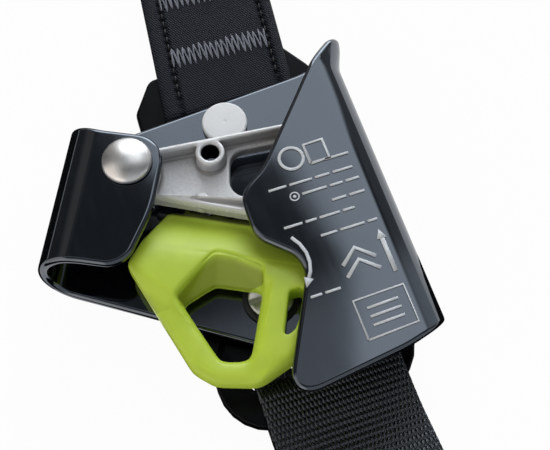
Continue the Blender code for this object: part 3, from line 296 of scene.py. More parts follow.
plainSteel = Finish("plainSteel", {"Metallic": 0.9})
plainRub = plainSteel.spots(0.8 * mm, 4.0, (1.0, 0.2, 1.0), 0.9)
plainSteel.paint({
    "Base Color": plainSteel.tint(plainSteel.rise(plainRub, 0.3, 0.7), (0.50, 0.50, 0.49),
                                  (0.63, 0.63, 0.62)),
    "Roughness": plainSteel.rise(plainRub, 0.3, 0.7, 0.32, 0.46)})
plainSteel.relief(plainRub, 0.008 * mm)

springSteel = Finish("springSteel", {"Metallic": 1.0})
springRub = springSteel.spots(0.4 * mm, 2.0)
springSteel.paint({"Base Color": springSteel.tint(springRub, (0.30, 0.30, 0.31), (0.44, 0.44, 0.45)),
                   "Roughness": springSteel.rise(springRub, 0.3, 0.7, 0.28, 0.42)})

bronze = Finish("bronze", {"Metallic": 1.0})
bronzeRub = bronze.spots(0.8 * mm, 3.0)
bronze.paint({"Base Color": bronze.tint(bronzeRub, (0.42, 0.27, 0.12), (0.56, 0.38, 0.18)),
              "Roughness": bronze.rise(bronzeRub, 0.3, 0.7, 0.3, 0.45)})

darkRing = Finish("darkRing", {"Roughness": 0.6})
ringSpeck = darkRing.spots(0.5 * mm, 2.0)
darkRing.paint({"Base Color": darkRing.tint(ringSpeck, (0.004, 0.004, 0.004), (0.014, 0.014, 0.014))})

limePlastic = Finish("limePlastic", {"IOR": 1.48})
limeCloud = limePlastic.spots(9 * mm, 2.0)
limeGrain = limePlastic.spots(0.3 * mm, 2.0)
# Painted shade: the scoop is tinted a darker lime where it lies deep, and a strip along the cam's flange is
# painted near black as the flange's shadow.
limeShadeMask = limePlastic.node("ShaderNodeAttribute", {"attribute_name": "paintedShade"}, output="Fac")
limeFace = limePlastic.tint(limePlastic.rise(limeCloud, 0.3, 0.7), (0.51, 0.685, 0.052), (0.57, 0.75, 0.062))
limeScoopShade = limePlastic.tint(limePlastic.rise(limeShadeMask, 0.1, 1.0), limeFace, (0.31, 0.39, 0.025))
limePlastic.paint({
    "Base Color": limePlastic.tint(limePlastic.rise(limeShadeMask, 1.1, 2.0), limeScoopShade, (0.05, 0.065, 0.006)),
    "Roughness": limePlastic.rise(limeGrain * 0.5 + limeCloud * 0.5, 0.3, 0.7, 0.34, 0.42)})
limePlastic.relief(limeGrain, 0.012 * mm)

printInk = Finish("printInk", {"Roughness": 0.5})
inkSpeck = printInk.spots(0.25 * mm, 3.0)
printInk.paint({"Base Color": printInk.tint(printInk.rise(inkSpeck, 0.3, 0.7), (0.60, 0.63, 0.66),
                                            (0.74, 0.77, 0.80))})

thread = Finish("thread", {"Roughness": 0.55})
threadTwist = thread.spots(0.35 * mm, 2.0)
thread.paint({"Base Color": thread.tint(threadTwist, (0.06, 0.065, 0.085), (0.34, 0.36, 0.42))})

blackThread = Finish("blackThread", {"Roughness": 0.5})
blackTwist = blackThread.spots(0.35 * mm, 2.0)
blackThread.paint({"Base Color": blackThread.tint(blackTwist, (0.001, 0.0011, 0.0016),
                                                  (0.003, 0.0034, 0.0045))})


def weave(name, low, high, across, along, depth, lean, gloss, roughness):
    # Woven cloth on a piece's own flat map, which is in metres: yarns across by along, leaning sideways.
    look = Finish(name, {"Specular IOR Level": gloss, "Specular Tint": (0.82, 0.9, 1.0)})
    flat = look.node("ShaderNodeUVMap", {"uv_map": "flat"})
    flatX = look.node("ShaderNodeSeparateXYZ", None, {"Vector": flat}, output="X")
    flatY = flatX.other("Y")
    turnX = (flatX + flatY * lean) * (2 * math.pi / across)
    turnY = flatY * (2 * math.pi / along)
    yarn = turnX.math("SINE", turnX) * 0.5 + turnY.math("SINE", turnY) * 0.35 + 0.5
    fuzz = look.spots(0.5 * mm, 3.0)
    look.paint({"Base Color": look.tint(look.rise(yarn * 0.7 + fuzz * 0.3, 0.25, 0.85), low, high),
                "Roughness": look.rise(fuzz, 0.3, 0.7, *roughness)})
    look.relief(yarn * 0.8 + fuzz * 0.2, depth)
    return look


fineWeb = weave("fineWeb", (0.0006, 0.0007, 0.001), (0.022, 0.026, 0.038), 0.82 * mm, 0.8 * mm, 0.25 * mm,
                0.6, 0.18, (0.45, 0.62))
coarseWeb = weave("coarseWeb", (0.0005, 0.0006, 0.0009), (0.005, 0.0056, 0.0075), 0.37 * mm, 3.0 * mm,
                  0.02 * mm, 0.5, 0.8, (0.2, 0.3))
print("finishes made")


def adopt(bm, name, look, body, slot, *nodes):
    mesh = bpy.data.meshes.new(name)
    bm.to_mesh(mesh)
    bm.free()
    mesh.shade_smooth()
    mesh.materials.append(look.material)
    piece = bpy.data.objects.new(name, mesh)
    scene.collection.objects.link(piece)
    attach(piece, body)
    if nodes:
        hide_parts(*nodes)
    return piece


def mergedCopy(node):
    # The CAD node's triangles, joined into one skin.
    bm = bmesh.new()
    bm.from_mesh(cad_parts[node].data)
    bmesh.ops.remove_doubles(bm, verts=bm.verts, dist=0.002 * mm)
    bmesh.ops.recalc_face_normals(bm, faces=bm.faces)
    return bm


def remeshed(bm, voxel):
    mesh = bpy.data.meshes.new("core")
    bm.to_mesh(mesh)
    bm.free()
    core = bpy.data.objects.new("core", mesh)
    scene.collection.objects.link(core)
    grid = core.modifiers.new("grid", "REMESH")
    grid.mode = "VOXEL"
    grid.voxel_size = voxel
    graph = bpy.context.evaluated_depsgraph_get()
    dense = bpy.data.meshes.new_from_object(core.evaluated_get(graph))
    bpy.data.objects.remove(core)
    bm = bmesh.new()
    bm.from_mesh(dense)
    bpy.data.meshes.remove(dense)
    return bm


def spun(profile, centre, steps=72):
    bm = bmesh.new()
    line = [bm.verts.new((centre.x + radius, centre.y, z)) for radius, z in profile]
    for first, second in zip(line, line[1:]):
        bm.edges.new((first, second))
    bmesh.ops.spin(bm, geom=bm.verts[:] + bm.edges[:], cent=(centre.x, centre.y, 0.0), axis=(0.0, 0.0, 1.0),
                   angle=2 * math.pi, steps=steps, use_merge=True)
    bmesh.ops.remove_doubles(bm, verts=bm.verts, dist=1e-7)
    bmesh.ops.recalc_face_normals(bm, faces=bm.faces)
    return bm


def arc(radius, z, reach, start, end, steps):
    # Points of a rounded edge in a spun profile, angles in degrees.
    points = []
    for step in range(steps + 1):
        angle = math.radians(start + (end - start) * step / steps)
        points.append((radius + reach * math.cos(angle), z + reach * math.sin(angle)))
    return points


def levelNormals(piece):
    flats = piece.modifiers.new("normals", "WEIGHTED_NORMAL")
    flats.mode = "FACE_AREA_WITH_ANGLE"
    flats.weight = 100
    flats.keep_sharp = True


# Bent sheet body, cut as a flat blank and bent round the rope channel and the left fold
shell = {"sheet": 3.2 * mm, "channel": 14.4 * mm, "rim": 1.4 * mm, "rimSteps": 5, "bendSteps": 40,
         "cornerSteps": 14,
         "axis": 25.9 * mm, "top": 48.4 * mm, "foot": -51.0 * mm, "flare": 3.6 * mm, "flareLength": 13.2 * mm,
         "foldX": -41.3 * mm, "foldY": 37.6 * mm, "foldTurn": math.radians(26.3), "foldTop": 1.9 * mm,
         "foldFoot": 45.2 * mm, "foldBackFoot": 50.0 * mm, "earReach": 21.0 * mm, "earWaist": 26.0 * mm,
         "earIn": 4.6 * mm, "wallTopLeft": 40.6 * mm, "wallTopRight": 45.6 * mm, "wallFoot": -49.6 * mm,
         "footSlope": 0.667, "tipRise": 1.19, "flapFootRight": -56.8 * mm}
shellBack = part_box("body_shell")[0].z
bendR = (shell["channel"] + shell["sheet"]) / 2
bendLength = math.pi * bendR
bendZ = shellBack + shell["sheet"] + shell["channel"] / 2
foldPoint = Vector((shell["foldX"], shell["foldY"]))
foldDown = Vector((-math.sin(shell["foldTurn"]), -math.cos(shell["foldTurn"])))
foldOut = Vector((math.cos(shell["foldTurn"]), -math.sin(shell["foldTurn"])))


def onFold(along, across):
    return foldPoint + foldDown * along + foldOut * across


def onFlap(x, y):
    return Vector((2 * shell["axis"] + bendLength - x, y))


def bent(x, y, depth):
    # depth is the distance outside the middle of the sheet.
    flat = Vector((x, y))
    outer = bendR + depth
    if x > shell["axis"]:
        angle = (x - shell["axis"]) / bendR
        if angle >= math.pi:
            return Vector((2 * shell["axis"] + bendLength - x, y, bendZ + outer))
        share = min(1.0, max(0.0, (y - shell["top"] + shell["flareLength"]) / shell["flareLength"]))
        reach = outer + shell["flare"] * share * share * (3 - 2 * share)
        return Vector((shell["axis"] + reach * math.sin(angle), y, bendZ - outer * math.cos(angle)))
    across = (flat - foldPoint).dot(foldOut)
    if across >= 0:
        return Vector((x, y, bendZ - outer))
    along = (flat - foldPoint).dot(foldDown)
    angle = -across / bendR
    if angle >= math.pi:
        place = onFold(along, -across - bendLength)
        return Vector((place.x, place.y, bendZ + outer))
    place = onFold(along, -outer * math.sin(angle))
    return Vector((place.x, place.y, bendZ - outer * math.cos(angle)))


midRight = shell["axis"] + bendLength / 2
endRight = shell["axis"] + bendLength
earOut = -bendLength - shell["earReach"]
wallStart = onFold(shell["foldBackFoot"], 0.0)
wallTurnX = wallStart.x + (wallStart.y - shell["wallFoot"]) / shell["footSlope"]
throat = Vector((0.6, 7.9)) * mm
tipLeft = throat.y + shell["tipRise"] * (shell["axis"] - throat.x)
tipRun = (shell["top"] - tipLeft) / shell["tipRise"]
blankCorners = [
    (Vector((shell["axis"], shell["wallFoot"])), 30.0),
    (Vector((midRight, shell["foot"])), 40.0),
    (onFlap(shell["axis"], shell["flapFootRight"]), 60.0),
    (onFlap(-15.6 * mm, -62.2 * mm), 6.0),
    (onFlap(3.7 * mm, -24.3 * mm), 8.0),
    (onFlap(-8.4 * mm, -12.9 * mm), 8.0),
    (onFlap(-8.4 * mm, 2.0 * mm), 7.0),
    (onFlap(*throat), 20.0),
    (Vector((endRight - tipRun, shell["top"])), 14.0),
    (Vector((midRight - 4.0 * mm, shell["top"] - 0.4 * mm)), 9.0),
    (Vector((shell["axis"], shell["wallTopRight"])), 30.0),
    (foldPoint + Vector((0.0, shell["wallTopLeft"] - shell["foldY"])), 12.0),
    (onFold(shell["foldTop"], -bendLength), 20.0),
    (onFold(shell["foldTop"], earOut), 10.2),
    (onFold(shell["earWaist"], earOut), 40.0),
    (onFold(shell["foldFoot"], earOut + shell["earIn"]), 8.0),
    (onFold(shell["foldFoot"], -bendLength), 40.0),
    (wallStart, 40.0),
    (Vector((wallTurnX, shell["wallFoot"])), 12.0)]


def cornerReach(before, corner, after, radius):
    # Length of edge that a rounding of this radius takes, within the edges there are.
    first = before - corner
    second = after - corner
    turn = math.pi - first.angle(second)
    return min(radius * math.tan(turn / 2), 0.45 * first.length, 0.45 * second.length)


blank = bmesh.new()
blankVerts = [blank.verts.new((*place, -shell["sheet"] / 2)) for place, radius in blankCorners]
blank.faces.new(blankVerts)
places = [place for place, radius in blankCorners]
reaches = [cornerReach(places[i - 1], places[i], places[(i + 1) % len(places)], blankCorners[i][1] * mm)
           for i in range(len(places))]
for vert, reach in zip(blankVerts, reaches):
    bmesh.ops.bevel(blank, geom=[vert], offset=reach, offset_type="OFFSET", segments=shell["cornerSteps"],
                    profile=0.5, affect="VERTICES", clamp_overlap=False, material=-1)
raised = bmesh.ops.extrude_face_region(blank, geom=blank.faces[:])
bmesh.ops.translate(blank, vec=(0.0, 0.0, shell["sheet"]),
                    verts=[v for v in raised["geom"] if isinstance(v, bmesh.types.BMVert)])
bmesh.ops.recalc_face_normals(blank, faces=blank.faces)
rimEdges = [e for e in blank.edges if e.is_manifold and e.calc_face_angle() > math.radians(60)]
bmesh.ops.bevel(blank, geom=rimEdges, offset=shell["rim"], offset_type="OFFSET", segments=shell["rimSteps"],
                profile=0.5, affect="EDGES", clamp_overlap=False, material=-1)
for step in range(shell["bendSteps"] + 1):
    run = bendLength * step / shell["bendSteps"]
    fold = onFold(0.0, -run)
    for place, across in (((shell["axis"] + run, 0.0, 0.0), (1.0, 0.0, 0.0)),
                          ((fold.x, fold.y, 0.0), (foldOut.x, foldOut.y, 0.0))):
        bmesh.ops.bisect_plane(blank, geom=blank.verts[:] + blank.edges[:] + blank.faces[:], dist=1e-5,
                               plane_co=place, plane_no=across)
for step in range(1, 15):
    level = shell["top"] - shell["flareLength"] * step / 14
    band = [f for f in blank.faces if 0.02 < (f.calc_center_median().x - shell["axis"]) / bendLength < 0.98]
    around = {v for f in band for v in f.verts} | {e for f in band for e in f.edges}
    bmesh.ops.bisect_plane(blank, geom=list(around) + band, dist=1e-5, plane_co=(0.0, level, 0.0),
                           plane_no=(0.0, 1.0, 0.0))
for vert in blank.verts:
    vert.co = bent(*vert.co)
bmesh.ops.recalc_face_normals(blank, faces=blank.faces)
bodyShell = adopt(blank, "bodyShell", blackSheet, "body", "black_sheet", "body_shell")
levelNormals(bodyShell)
print("body shell bent:", len(rimEdges), "rim edges,", len(bodyShell.data.polygons), "faces")

# Strap frame, from the CAD shape with its front rim rolled
plate = {"roll": 1.5 * mm, "steps": 5, "level": 0.05 * mm, "sharp": math.radians(50)}
frameCore = mergedCopy("strap_frame")
bmesh.ops.dissolve_limit(frameCore, angle_limit=math.radians(1.0), verts=frameCore.verts,
                         edges=frameCore.edges)
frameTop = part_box("strap_frame")[1].z - plate["level"]
corners = [e for e in frameCore.edges if e.is_manifold and e.calc_face_angle() > plate["sharp"]
           and min(v.co.z for v in e.verts) > frameTop]
outline = {max((v for e in corners for v in e.verts), key=lambda v: v.co.x)}
rim = set()
while True:
    # Walks round the outer edge, which no hole's edge touches.
    found = {e for e in corners if e not in rim and not outline.isdisjoint(e.verts)}
    if not found:
        break
    rim |= found
    outline |= {v for e in found for v in e.verts}
bmesh.ops.bevel(frameCore, geom=list(rim), offset=plate["roll"], offset_type="OFFSET",
                segments=plate["steps"],
                profile=0.5, affect="EDGES", clamp_overlap=False, material=-1)
strapFrame = adopt(frameCore, "strapFrame", blackFrame, "body", "black_frame", "strap_frame")
strapFrame.data.set_sharp_from_angle(angle=plate["sharp"])
levelNormals(strapFrame)
print("strap frame rolled:", len(rim), "rim edges")

# Cast cam: the CAD shape on a fine grid, with every edge but the teeth softened
cast = {"voxel": 0.3 * mm, "rounds": 9, "toothBand": 4.0 * mm, "plug": 2.5 * mm, "grip": 4.0 * mm,
        "cover": 1.0 * mm, "lipPoint": Vector((-19.1, 3.73)) * mm,
        "lipOut": Vector((-0.49, -0.87)).normalized(),
        "lipHigh": 3.0 * mm, "lipEnd": 6.0 * mm, "lipSlope": -0.563, "lipShare": 0.24, "lipLeast": 0.8 * mm,
        "lipReach": 3.6 * mm, "lipDrop": 0.9 * mm, "lensDeep": 0.3, "topPoint": Vector((-33.6, 12.5)) * mm,
        "topSlope": -0.387, "undersideShade": 0.25, "swell": 3.2 * mm, "swellFrom": 0.6 * mm, "swellShade": 0.22,
        "bossX": -12.2 * mm, "bossY": 19.9 * mm, "bore": 3.0 * mm, "boreLip": 0.7 * mm, "edgeShadeRounds": 24,
        "edgeShadeReach": 0.22 * mm}


def smoothed(bm, verts, rounds):
    for step in range(rounds):
        bmesh.ops.smooth_vert(bm, verts=verts, factor=0.5, use_axis_x=True, use_axis_y=True, use_axis_z=True)


def edgesAndShadeLayer(bm, rounds, reach):
    # Stores how far each point stands out of the smoothed shape: 0 in hollows, 1 on edges; the finish paints
    # shade into the hollows with it.
    sharp = [v.co.copy() for v in bm.verts]
    smoothed(bm, bm.verts, rounds)
    level = [v.co.copy() for v in bm.verts]
    layer = bm.verts.layers.float.new("edgesAndShade")
    for vert, place in zip(bm.verts, sharp):
        vert.co = place
    bm.normal_update()
    for vert, place in zip(bm.verts, level):
        vert[layer] = 0.5 + 0.5 * max(-1.0, min(1.0, (vert.co - place).dot(vert.normal) / reach))
    return layer


camMesh = mergedCopy("cam")
pinLow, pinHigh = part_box("trigger_pin")
plugHeight = cast["grip"] + cast["cover"]
bmesh.ops.create_cone(camMesh, cap_ends=True, segments=32, radius1=cast["plug"], radius2=cast["plug"],
                      depth=plugHeight, matrix=Matrix.Translation((
                          (pinLow.x + pinHigh.x) / 2, (pinLow.y + pinHigh.y) / 2,
                          pinHigh.z + cast["cover"] - plugHeight / 2)))
camCore = remeshed(camMesh, cast["voxel"])
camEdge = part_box("cam")[1].x
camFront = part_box("cam")[1].z - 0.3 * mm
for vert in camCore.verts:
    # The flange's front is a rounded lip below and a shallow hollow above it.
    lowY = cast["lipPoint"].y + cast["lipSlope"] * (vert.co.x - cast["lipPoint"].x)
    wide = cast["topPoint"].y + cast["topSlope"] * (vert.co.x - cast["topPoint"].x) - lowY
    share = (vert.co.y - lowY) / wide
    if vert.co.x > cast["lipEnd"] or not -0.4 < share < 1 or wide < cast["lipLeast"]:
        continue
    drop = min(cast["lipDrop"], wide / 4)
    away = min(1.0, max(0.0, 1 - share / cast["lipShare"]))
    level = camFront - drop - cast["lipHigh"] * (1 - math.sqrt(1 - away * away))
    if share > cast["lipShare"]:
        climb = (share - cast["lipShare"]) / (1 - cast["lipShare"])
        level += drop * climb * climb - cast["lensDeep"] * wide * math.sin(math.pi * climb)
    vert.co.z = min(vert.co.z, level)
camSoft = [v for v in camCore.verts if v.co.x < camEdge - cast["toothBand"]]
smoothed(camCore, camSoft, cast["rounds"])
pinAxis = (pinLow + pinHigh) / 2
edgesAndShade = edgesAndShadeLayer(camCore, cast["edgeShadeRounds"], cast["edgeShadeReach"])
lip = camCore.verts.layers.float.new("lip")
bossAxis = Vector((cast["bossX"], cast["bossY"]))
# Painted shade: faces turned down, the swell round the trigger pin and the inside of the boss's bore are marked
# darker, the bore down to near black.
for vert in camCore.verts:
    vert[edgesAndShade] -= cast["undersideShade"] * max(0.0, -vert.normal.y - 0.2) / 0.8
    if (vert.co.xy - pinAxis.xy).length < cast["swell"] and vert.co.y > pinAxis.y + cast["swellFrom"]:
        vert[edgesAndShade] = min(vert[edgesAndShade], cast["swellShade"])
    inward = (cast["lipPoint"] - vert.co.xy).dot(cast["lipOut"])
    if vert.co.x < cast["lipEnd"] and inward < cast["lipReach"]:
        vert[lip] = min(1.0, max(0.0, (0.35 - vert.normal.y) / 0.5))
    if (vert.co.xy - bossAxis).length < cast["bore"] and vert.co.z < camFront - cast["boreLip"]:
        vert[edgesAndShade] = -1.0
camPiece = adopt(camCore, "camPiece", castSteel, "cam", "cast_steel", "cam")
print("cam cast:", len(camPiece.data.polygons))

# Moulded trigger: the CAD shape on a fine grid, well rounded
mould = {"voxel": 0.4 * mm, "rounds": 9, "ringRounds": 16, "ringTops": (-24.0 * mm, -27.0 * mm, -30.0 * mm),
         "ringStep": 0.8 * mm, "landWide": 10.0 * mm, "landLong": 2.4 * mm, "landThick": 1.0 * mm,
         "landDrop": 3.9 * mm, "landTop": 18.4 * mm, "faceLeft": -25.0 * mm,
         "rampPoint": Vector((-33.6, 9.9)) * mm, "rampOut": Vector((-0.521, -1.0)).normalized(),
         "rampStart": 1.7 * mm, "rampFoot": 18.2 * mm, "ramp": 0.6, "front": 25.0 * mm, "skin": 0.8 * mm,
         "blend": 3.0 * mm, "shadowEnd": 0.8 * mm, "shadowFade": 0.6 * mm, "shade": (0.9 * mm, 3.4 * mm),
         "strutX": -8.5 * mm, "strutY": -24.5 * mm, "strutSlope": 0.484, "slotFoot": -36.0 * mm,
         "chinSlope": 0.35}
triggerMesh = mergedCopy("trigger")
bmesh.ops.create_cube(triggerMesh, size=1.0, matrix=Matrix.Translation((
    pinAxis.x, pinAxis.y - mould["landDrop"], mould["landTop"] - mould["landThick"] / 2)) @ Matrix.Rotation(
    math.atan(cast["lipSlope"]), 4, "Z") @ Matrix.Diagonal((
        mould["landWide"], mould["landLong"], mould["landThick"], 1.0)))
triggerCore = remeshed(triggerMesh, mould["voxel"])
smoothed(triggerCore, triggerCore.verts, mould["rounds"])
paintedShade = triggerCore.verts.layers.float.new("paintedShade")
# Painted shade: points sunk below the front are marked for the darker scoop tint, and points next to the cam's
# flange for a near-black painted shadow.
for vert in triggerCore.verts:
    out = (vert.co.xy - mould["rampPoint"]).dot(mould["rampOut"])
    ramp = mould["rampFoot"] + mould["ramp"] * max(0.0, out - mould["rampStart"])
    crown = mould["front"]
    deep = min(ramp, crown) - vert.co.z
    if vert.normal.z > 0.1 and vert.co.y > mould["ringTops"][0]:
        shade = (deep - mould["shade"][0]) / (mould["shade"][1] - mould["shade"][0])
        vert[paintedShade] = min(1.0, max(0.0, shade))
    if out < mould["shadowEnd"] and vert.normal.z > 0.1:
        vert[paintedShade] = 2 * min(1.0, (mould["shadowEnd"] - out) / mould["shadowFade"])
    close = min(1.0, max(0.0, 2 - abs(deep) / mould["skin"]))
    soft = (ramp + crown - math.hypot(ramp - crown, mould["blend"])) / 2
    vert.co.z -= (min(ramp, crown) - soft) * close * close * (3 - 2 * close)
leftFace = [v for v in triggerCore.verts if v.co.y > mould["ringTops"][0] and v.co.x < mould["faceLeft"]]
smoothed(triggerCore, leftFace, mould["rounds"])
smoothed(triggerCore, [v for v in triggerCore.verts if 0.01 < v[paintedShade] < 0.6], mould["rounds"])
for index, top in enumerate(mould["ringTops"]):
    # The side with the slot keeps its crisp edges.
    ring = []
    for vert in triggerCore.verts:
        low = min(0.0, vert.co.y - mould["slotFoot"])
        edge = mould["strutX"] + mould["strutSlope"] * (max(vert.co.y, mould["slotFoot"]) - mould["strutY"])
        if vert.co.y < top and vert.co.x < edge - low * mould["chinSlope"] - index * mould["ringStep"]:
            ring.append(vert)
    smoothed(triggerCore, ring, mould["ringRounds"])
triggerPiece = adopt(triggerCore, "triggerPiece", limePlastic, "trigger", "lime_plastic", "trigger")
print("trigger moulded:", len(triggerPiece.data.polygons))

# Domed pivot rivet with its formed tail
dome = {"radius": 7.6 * mm, "roll": 2.0 * mm, "axle": 4.0 * mm, "tail": 5.9 * mm, "steps": 14}
domeLow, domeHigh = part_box("pivot_rivet")
domeCentre = (domeLow + domeHigh) / 2
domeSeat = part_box("body_shell")[1].z + 0.3 * mm
domeRise = domeHigh.z - domeSeat
rollX = dome["radius"] - dome["roll"]
crownR = (rollX ** 2 + domeRise ** 2 - dome["roll"] ** 2) / (2 * (domeRise - dome["roll"]))
crownSpan = math.asin(rollX / (crownR - dome["roll"]))
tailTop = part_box("pivot_tail_washer")[0].z - 0.3 * mm
domeLine = [(crownR * math.sin(crownSpan * i / dome["steps"]),
             domeHigh.z - crownR * (1 - math.cos(crownSpan * i / dome["steps"]))) for i in range(dome["steps"])]
domeLine += arc(rollX, domeSeat, dome["roll"], 90 - math.degrees(crownSpan), 0, 10)
domeLine += [(dome["axle"], domeSeat), (dome["axle"], tailTop), (dome["tail"] - 0.3 * mm, tailTop)]
domeLine += arc(dome["tail"] - 0.9 * mm, domeLow.z + 0.9 * mm, 0.9 * mm, 0, -90, 6) + [(0.0, domeLow.z)]
pivotRivet = adopt(spun(domeLine, domeCentre, 96), "pivotRivet", domeSteel, "body", "bright_steel",
                   "pivot_rivet")
pivotRivet.data.set_sharp_from_angle(angle=math.radians(50))

# Flat frame rivet with a soft edge and a faint centre mark
stud = {"edge": 0.75 * mm, "shank": 3.0 * mm, "tail": 4.9 * mm, "tailRise": 1.9 * mm, "dimple": 0.55 * mm}
studLow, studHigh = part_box("frame_rivet")
studCentre = (studLow + studHigh) / 2
studR = (studHigh.x - studLow.x) / 2
studSeat = shellBack + shell["sheet"] + 0.3 * mm
studLine = [(0.0, studHigh.z - 0.16 * mm), (stud["dimple"] * 0.6, studHigh.z - 0.12 * mm),
            (stud["dimple"], studHigh.z - 0.03 * mm), (stud["dimple"] * 1.6, studHigh.z)]
studLine += arc(studR - stud["edge"], studHigh.z - stud["edge"], stud["edge"], 90, 0, 6)
studLine += [(studR, studSeat + 0.15 * mm), (studR - 0.15 * mm, studSeat), (stud["shank"], studSeat),
             (stud["shank"], studLow.z + stud["tailRise"]),
             (stud["tail"], studLow.z + stud["tailRise"] - 0.3 * mm)]
studLine += arc(stud["tail"] - 0.9 * mm, studLow.z + 0.9 * mm, 0.9 * mm, 0, -90, 5) + [(0.0, studLow.z)]
frameRivet = adopt(spun(studLine, studCentre), "frameRivet", rivetAlloy, "body", "bright_alloy",
                   "frame_rivet")
frameRivet.data.set_sharp_from_angle(angle=math.radians(50))

# Slotted screw on its dark ring
frameScrew = adopt(mergedCopy("frame_screw"), "frameScrew", plainSteel, "body", "plain_steel", "frame_screw")
frameScrew.data.set_sharp_from_angle(angle=math.radians(35))
ringLow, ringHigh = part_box("screw_washer")
ringCentre = (ringLow + ringHigh) / 2
ringR = (ringHigh.x - ringLow.x) / 2
ring = {"bore": 3.3 * mm, "edge": 0.25 * mm}
ringLine = [(ring["bore"], ringLow.z), (ring["bore"], ringHigh.z)]
ringLine += arc(ringR - ring["edge"], ringHigh.z - ring["edge"], ring["edge"], 90, 0, 4)
ringLine += [(ringR, ringLow.z), (ring["bore"], ringLow.z)]
screwRing = adopt(spun(ringLine, ringCentre), "screwRing", darkRing, "body", "dark_ring", "screw_washer")
print("rivets and screw turned")

# Small pieces that mostly hide keep the CAD shape and take a finish of their own.
plainNodes = {"screw_nut": plainSteel, "rivet_spacer": plainSteel, "screw_spacer": plainSteel,
              "pivot_tail_washer": plainSteel, "cam_washer_front": bronze, "cam_washer_back": bronze,
              "cam_spring": springSteel, "cam_bush": bronze, "trigger_pin": plainSteel,
              "trigger_pin_washer": bronze, "trigger_spring": springSteel}
for node, look in plainNodes.items():
    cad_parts[node].data.materials.clear()
    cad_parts[node].data.materials.append(look.material)

# Webbing: each strap is one ribbon that goes round its bar and is laid back on itself.
web = {"width": 44.2 * mm, "thick": 1.7 * mm, "shift": 1.4 * mm, "rear": 1.3 * mm, "front": 7.7 * mm,
       "lap": 5.4 * mm, "meet": 11.0 * mm, "tailBack": 7.0 * mm, "swing": 1.0 * mm, "seat": 0.3 * mm,
       "barEnd": 62.6 * mm}
wrapR = (web["front"] - web["rear"]) / 2
wrapZ = (web["front"] + web["rear"]) / 2


def strapPath(barEdge, end, curl):
    # Side view of a strap as (along, z) points, measured outwards from the bar.
    turn = barEdge + web["seat"]
    path = [(end - web["tailBack"], web["lap"] + curl(end - web["tailBack"]))]
    start = web["barEnd"] + web["swing"] + web["meet"]
    for step in range(1, 12):
        along = path[0][0] + (start - path[0][0]) * step / 12
        path.append((along, web["lap"] + curl(along)))
    for step in range(25):
        share = step / 24
        ease = share * share * (3 - 2 * share)
        along = start - web["meet"] * share
        path.append((along, web["lap"] + (web["rear"] - web["lap"]) * ease + curl(along)))
    path.append((turn, web["rear"]))
    for step in range(1, 24):
        angle = math.pi * step / 24
        path.append((turn - wrapR * math.sin(angle), wrapZ - wrapR * math.cos(angle)))
    path.append((turn, web["front"]))
    for step in range(1, 41):
        along = turn + (end - turn) * step / 40
        path.append((along, web["front"] + curl(along)))
    return [Vector(point) for point in path]


def strapPiece(name, look, node, barEdge, end, lean, curl, cells, thin, relief, side):
    # A grid laid along the path; relief lifts it off the path's plane.
    # The hidden run takes fewer rows, by thin.
    path = strapPath(barEdge, end, curl)
    runs = [0.0]
    for first, second in zip(path, path[1:]):
        runs.append(runs[-1] + (second - first).length)
    total = runs[-1]
    bm = bmesh.new()
    bmesh.ops.create_grid(bm, x_segments=cells[0], y_segments=cells[1], size=0.5)
    for vert in bm.verts:
        rowShare = vert.co.y + 0.5
        if rowShare < thin[0]:
            vert.co.y = rowShare / thin[0] * thin[1] - 0.5
        else:
            vert.co.y = thin[1] + (rowShare - thin[0]) / (1 - thin[0]) * (1 - thin[1]) - 0.5
    flat = bm.loops.layers.uv.new("flat")
    for face in bm.faces:
        for loop in face.loops:
            loop[flat].uv = (loop.vert.co.x * web["width"], (loop.vert.co.y + 0.5) * total)
    place = 0
    under = {}
    for vert in sorted(bm.verts, key=lambda v: v.co.y):
        across = vert.co.x * web["width"]
        run = (vert.co.y + 0.5) * total
        while place < len(runs) - 2 and runs[place + 1] < run:
            place += 1
        share = (run - runs[place]) / (runs[place + 1] - runs[place])
        spot = path[place].lerp(path[place + 1], share)
        ahead = path[min(place + 2, len(path) - 1)] - path[max(place - 1, 0)]
        normal = Vector((-ahead.y, ahead.x)).normalized()
        lifted = spot + normal * (web["thick"] / 2 + relief(across, spot.x))
        plain = spot - normal * web["thick"] / 2
        drift = web["shift"] + lean * max(0.0, spot.x - barEdge - web["seat"]) + across
        vert.co = Vector((drift, side * lifted.x, lifted.y))
        under[vert] = Vector((drift, side * plain.x, plain.y))
    back = bmesh.ops.duplicate(bm, geom=bm.verts[:] + bm.edges[:] + bm.faces[:])
    for vert, spot in under.items():
        back["vert_map"][vert].co = spot
    bmesh.ops.bridge_loops(bm, edges=[e for e in bm.edges if e.is_boundary])
    bmesh.ops.recalc_face_normals(bm, faces=bm.faces)
    piece = adopt(bm, name, look, "body", "black_webbing", node)
    return piece


def ridge(value, middle, reach):
    # A rounded bump of height 1 around middle.
    away = abs(value - middle) / reach
    return 0.0 if away >= 1 else (1 - away * away) ** 2


hem = {"left": 6.0 * mm, "right": 4.4 * mm, "groove": 0.5 * mm, "pitch": 3.2 * mm, "dip": 0.75 * mm,
       "crown": 0.7 * mm, "roll": 0.45 * mm, "wide": 1.5 * mm, "stitches": 15, "firstStitch": 16.12}


def upperRelief(across, along):
    half = web["width"] / 2
    lift = 0.0
    for seam, side in ((hem["left"] - half, -1), (half - hem["right"], 1)):
        pull = 0.5 + 0.5 * math.cos(2 * math.pi * along / hem["pitch"])
        lift -= (hem["groove"] + hem["dip"] * pull) * ridge(across, seam, hem["wide"])
        lift += hem["roll"] * ridge(across, (seam + side * half) / 2, abs(side * half - seam) / 2 + 0.5 * mm)
    edge = max(0.0, (abs(across) - half + 2.0 * mm) / (2.0 * mm))
    return lift - hem["crown"] * edge * edge


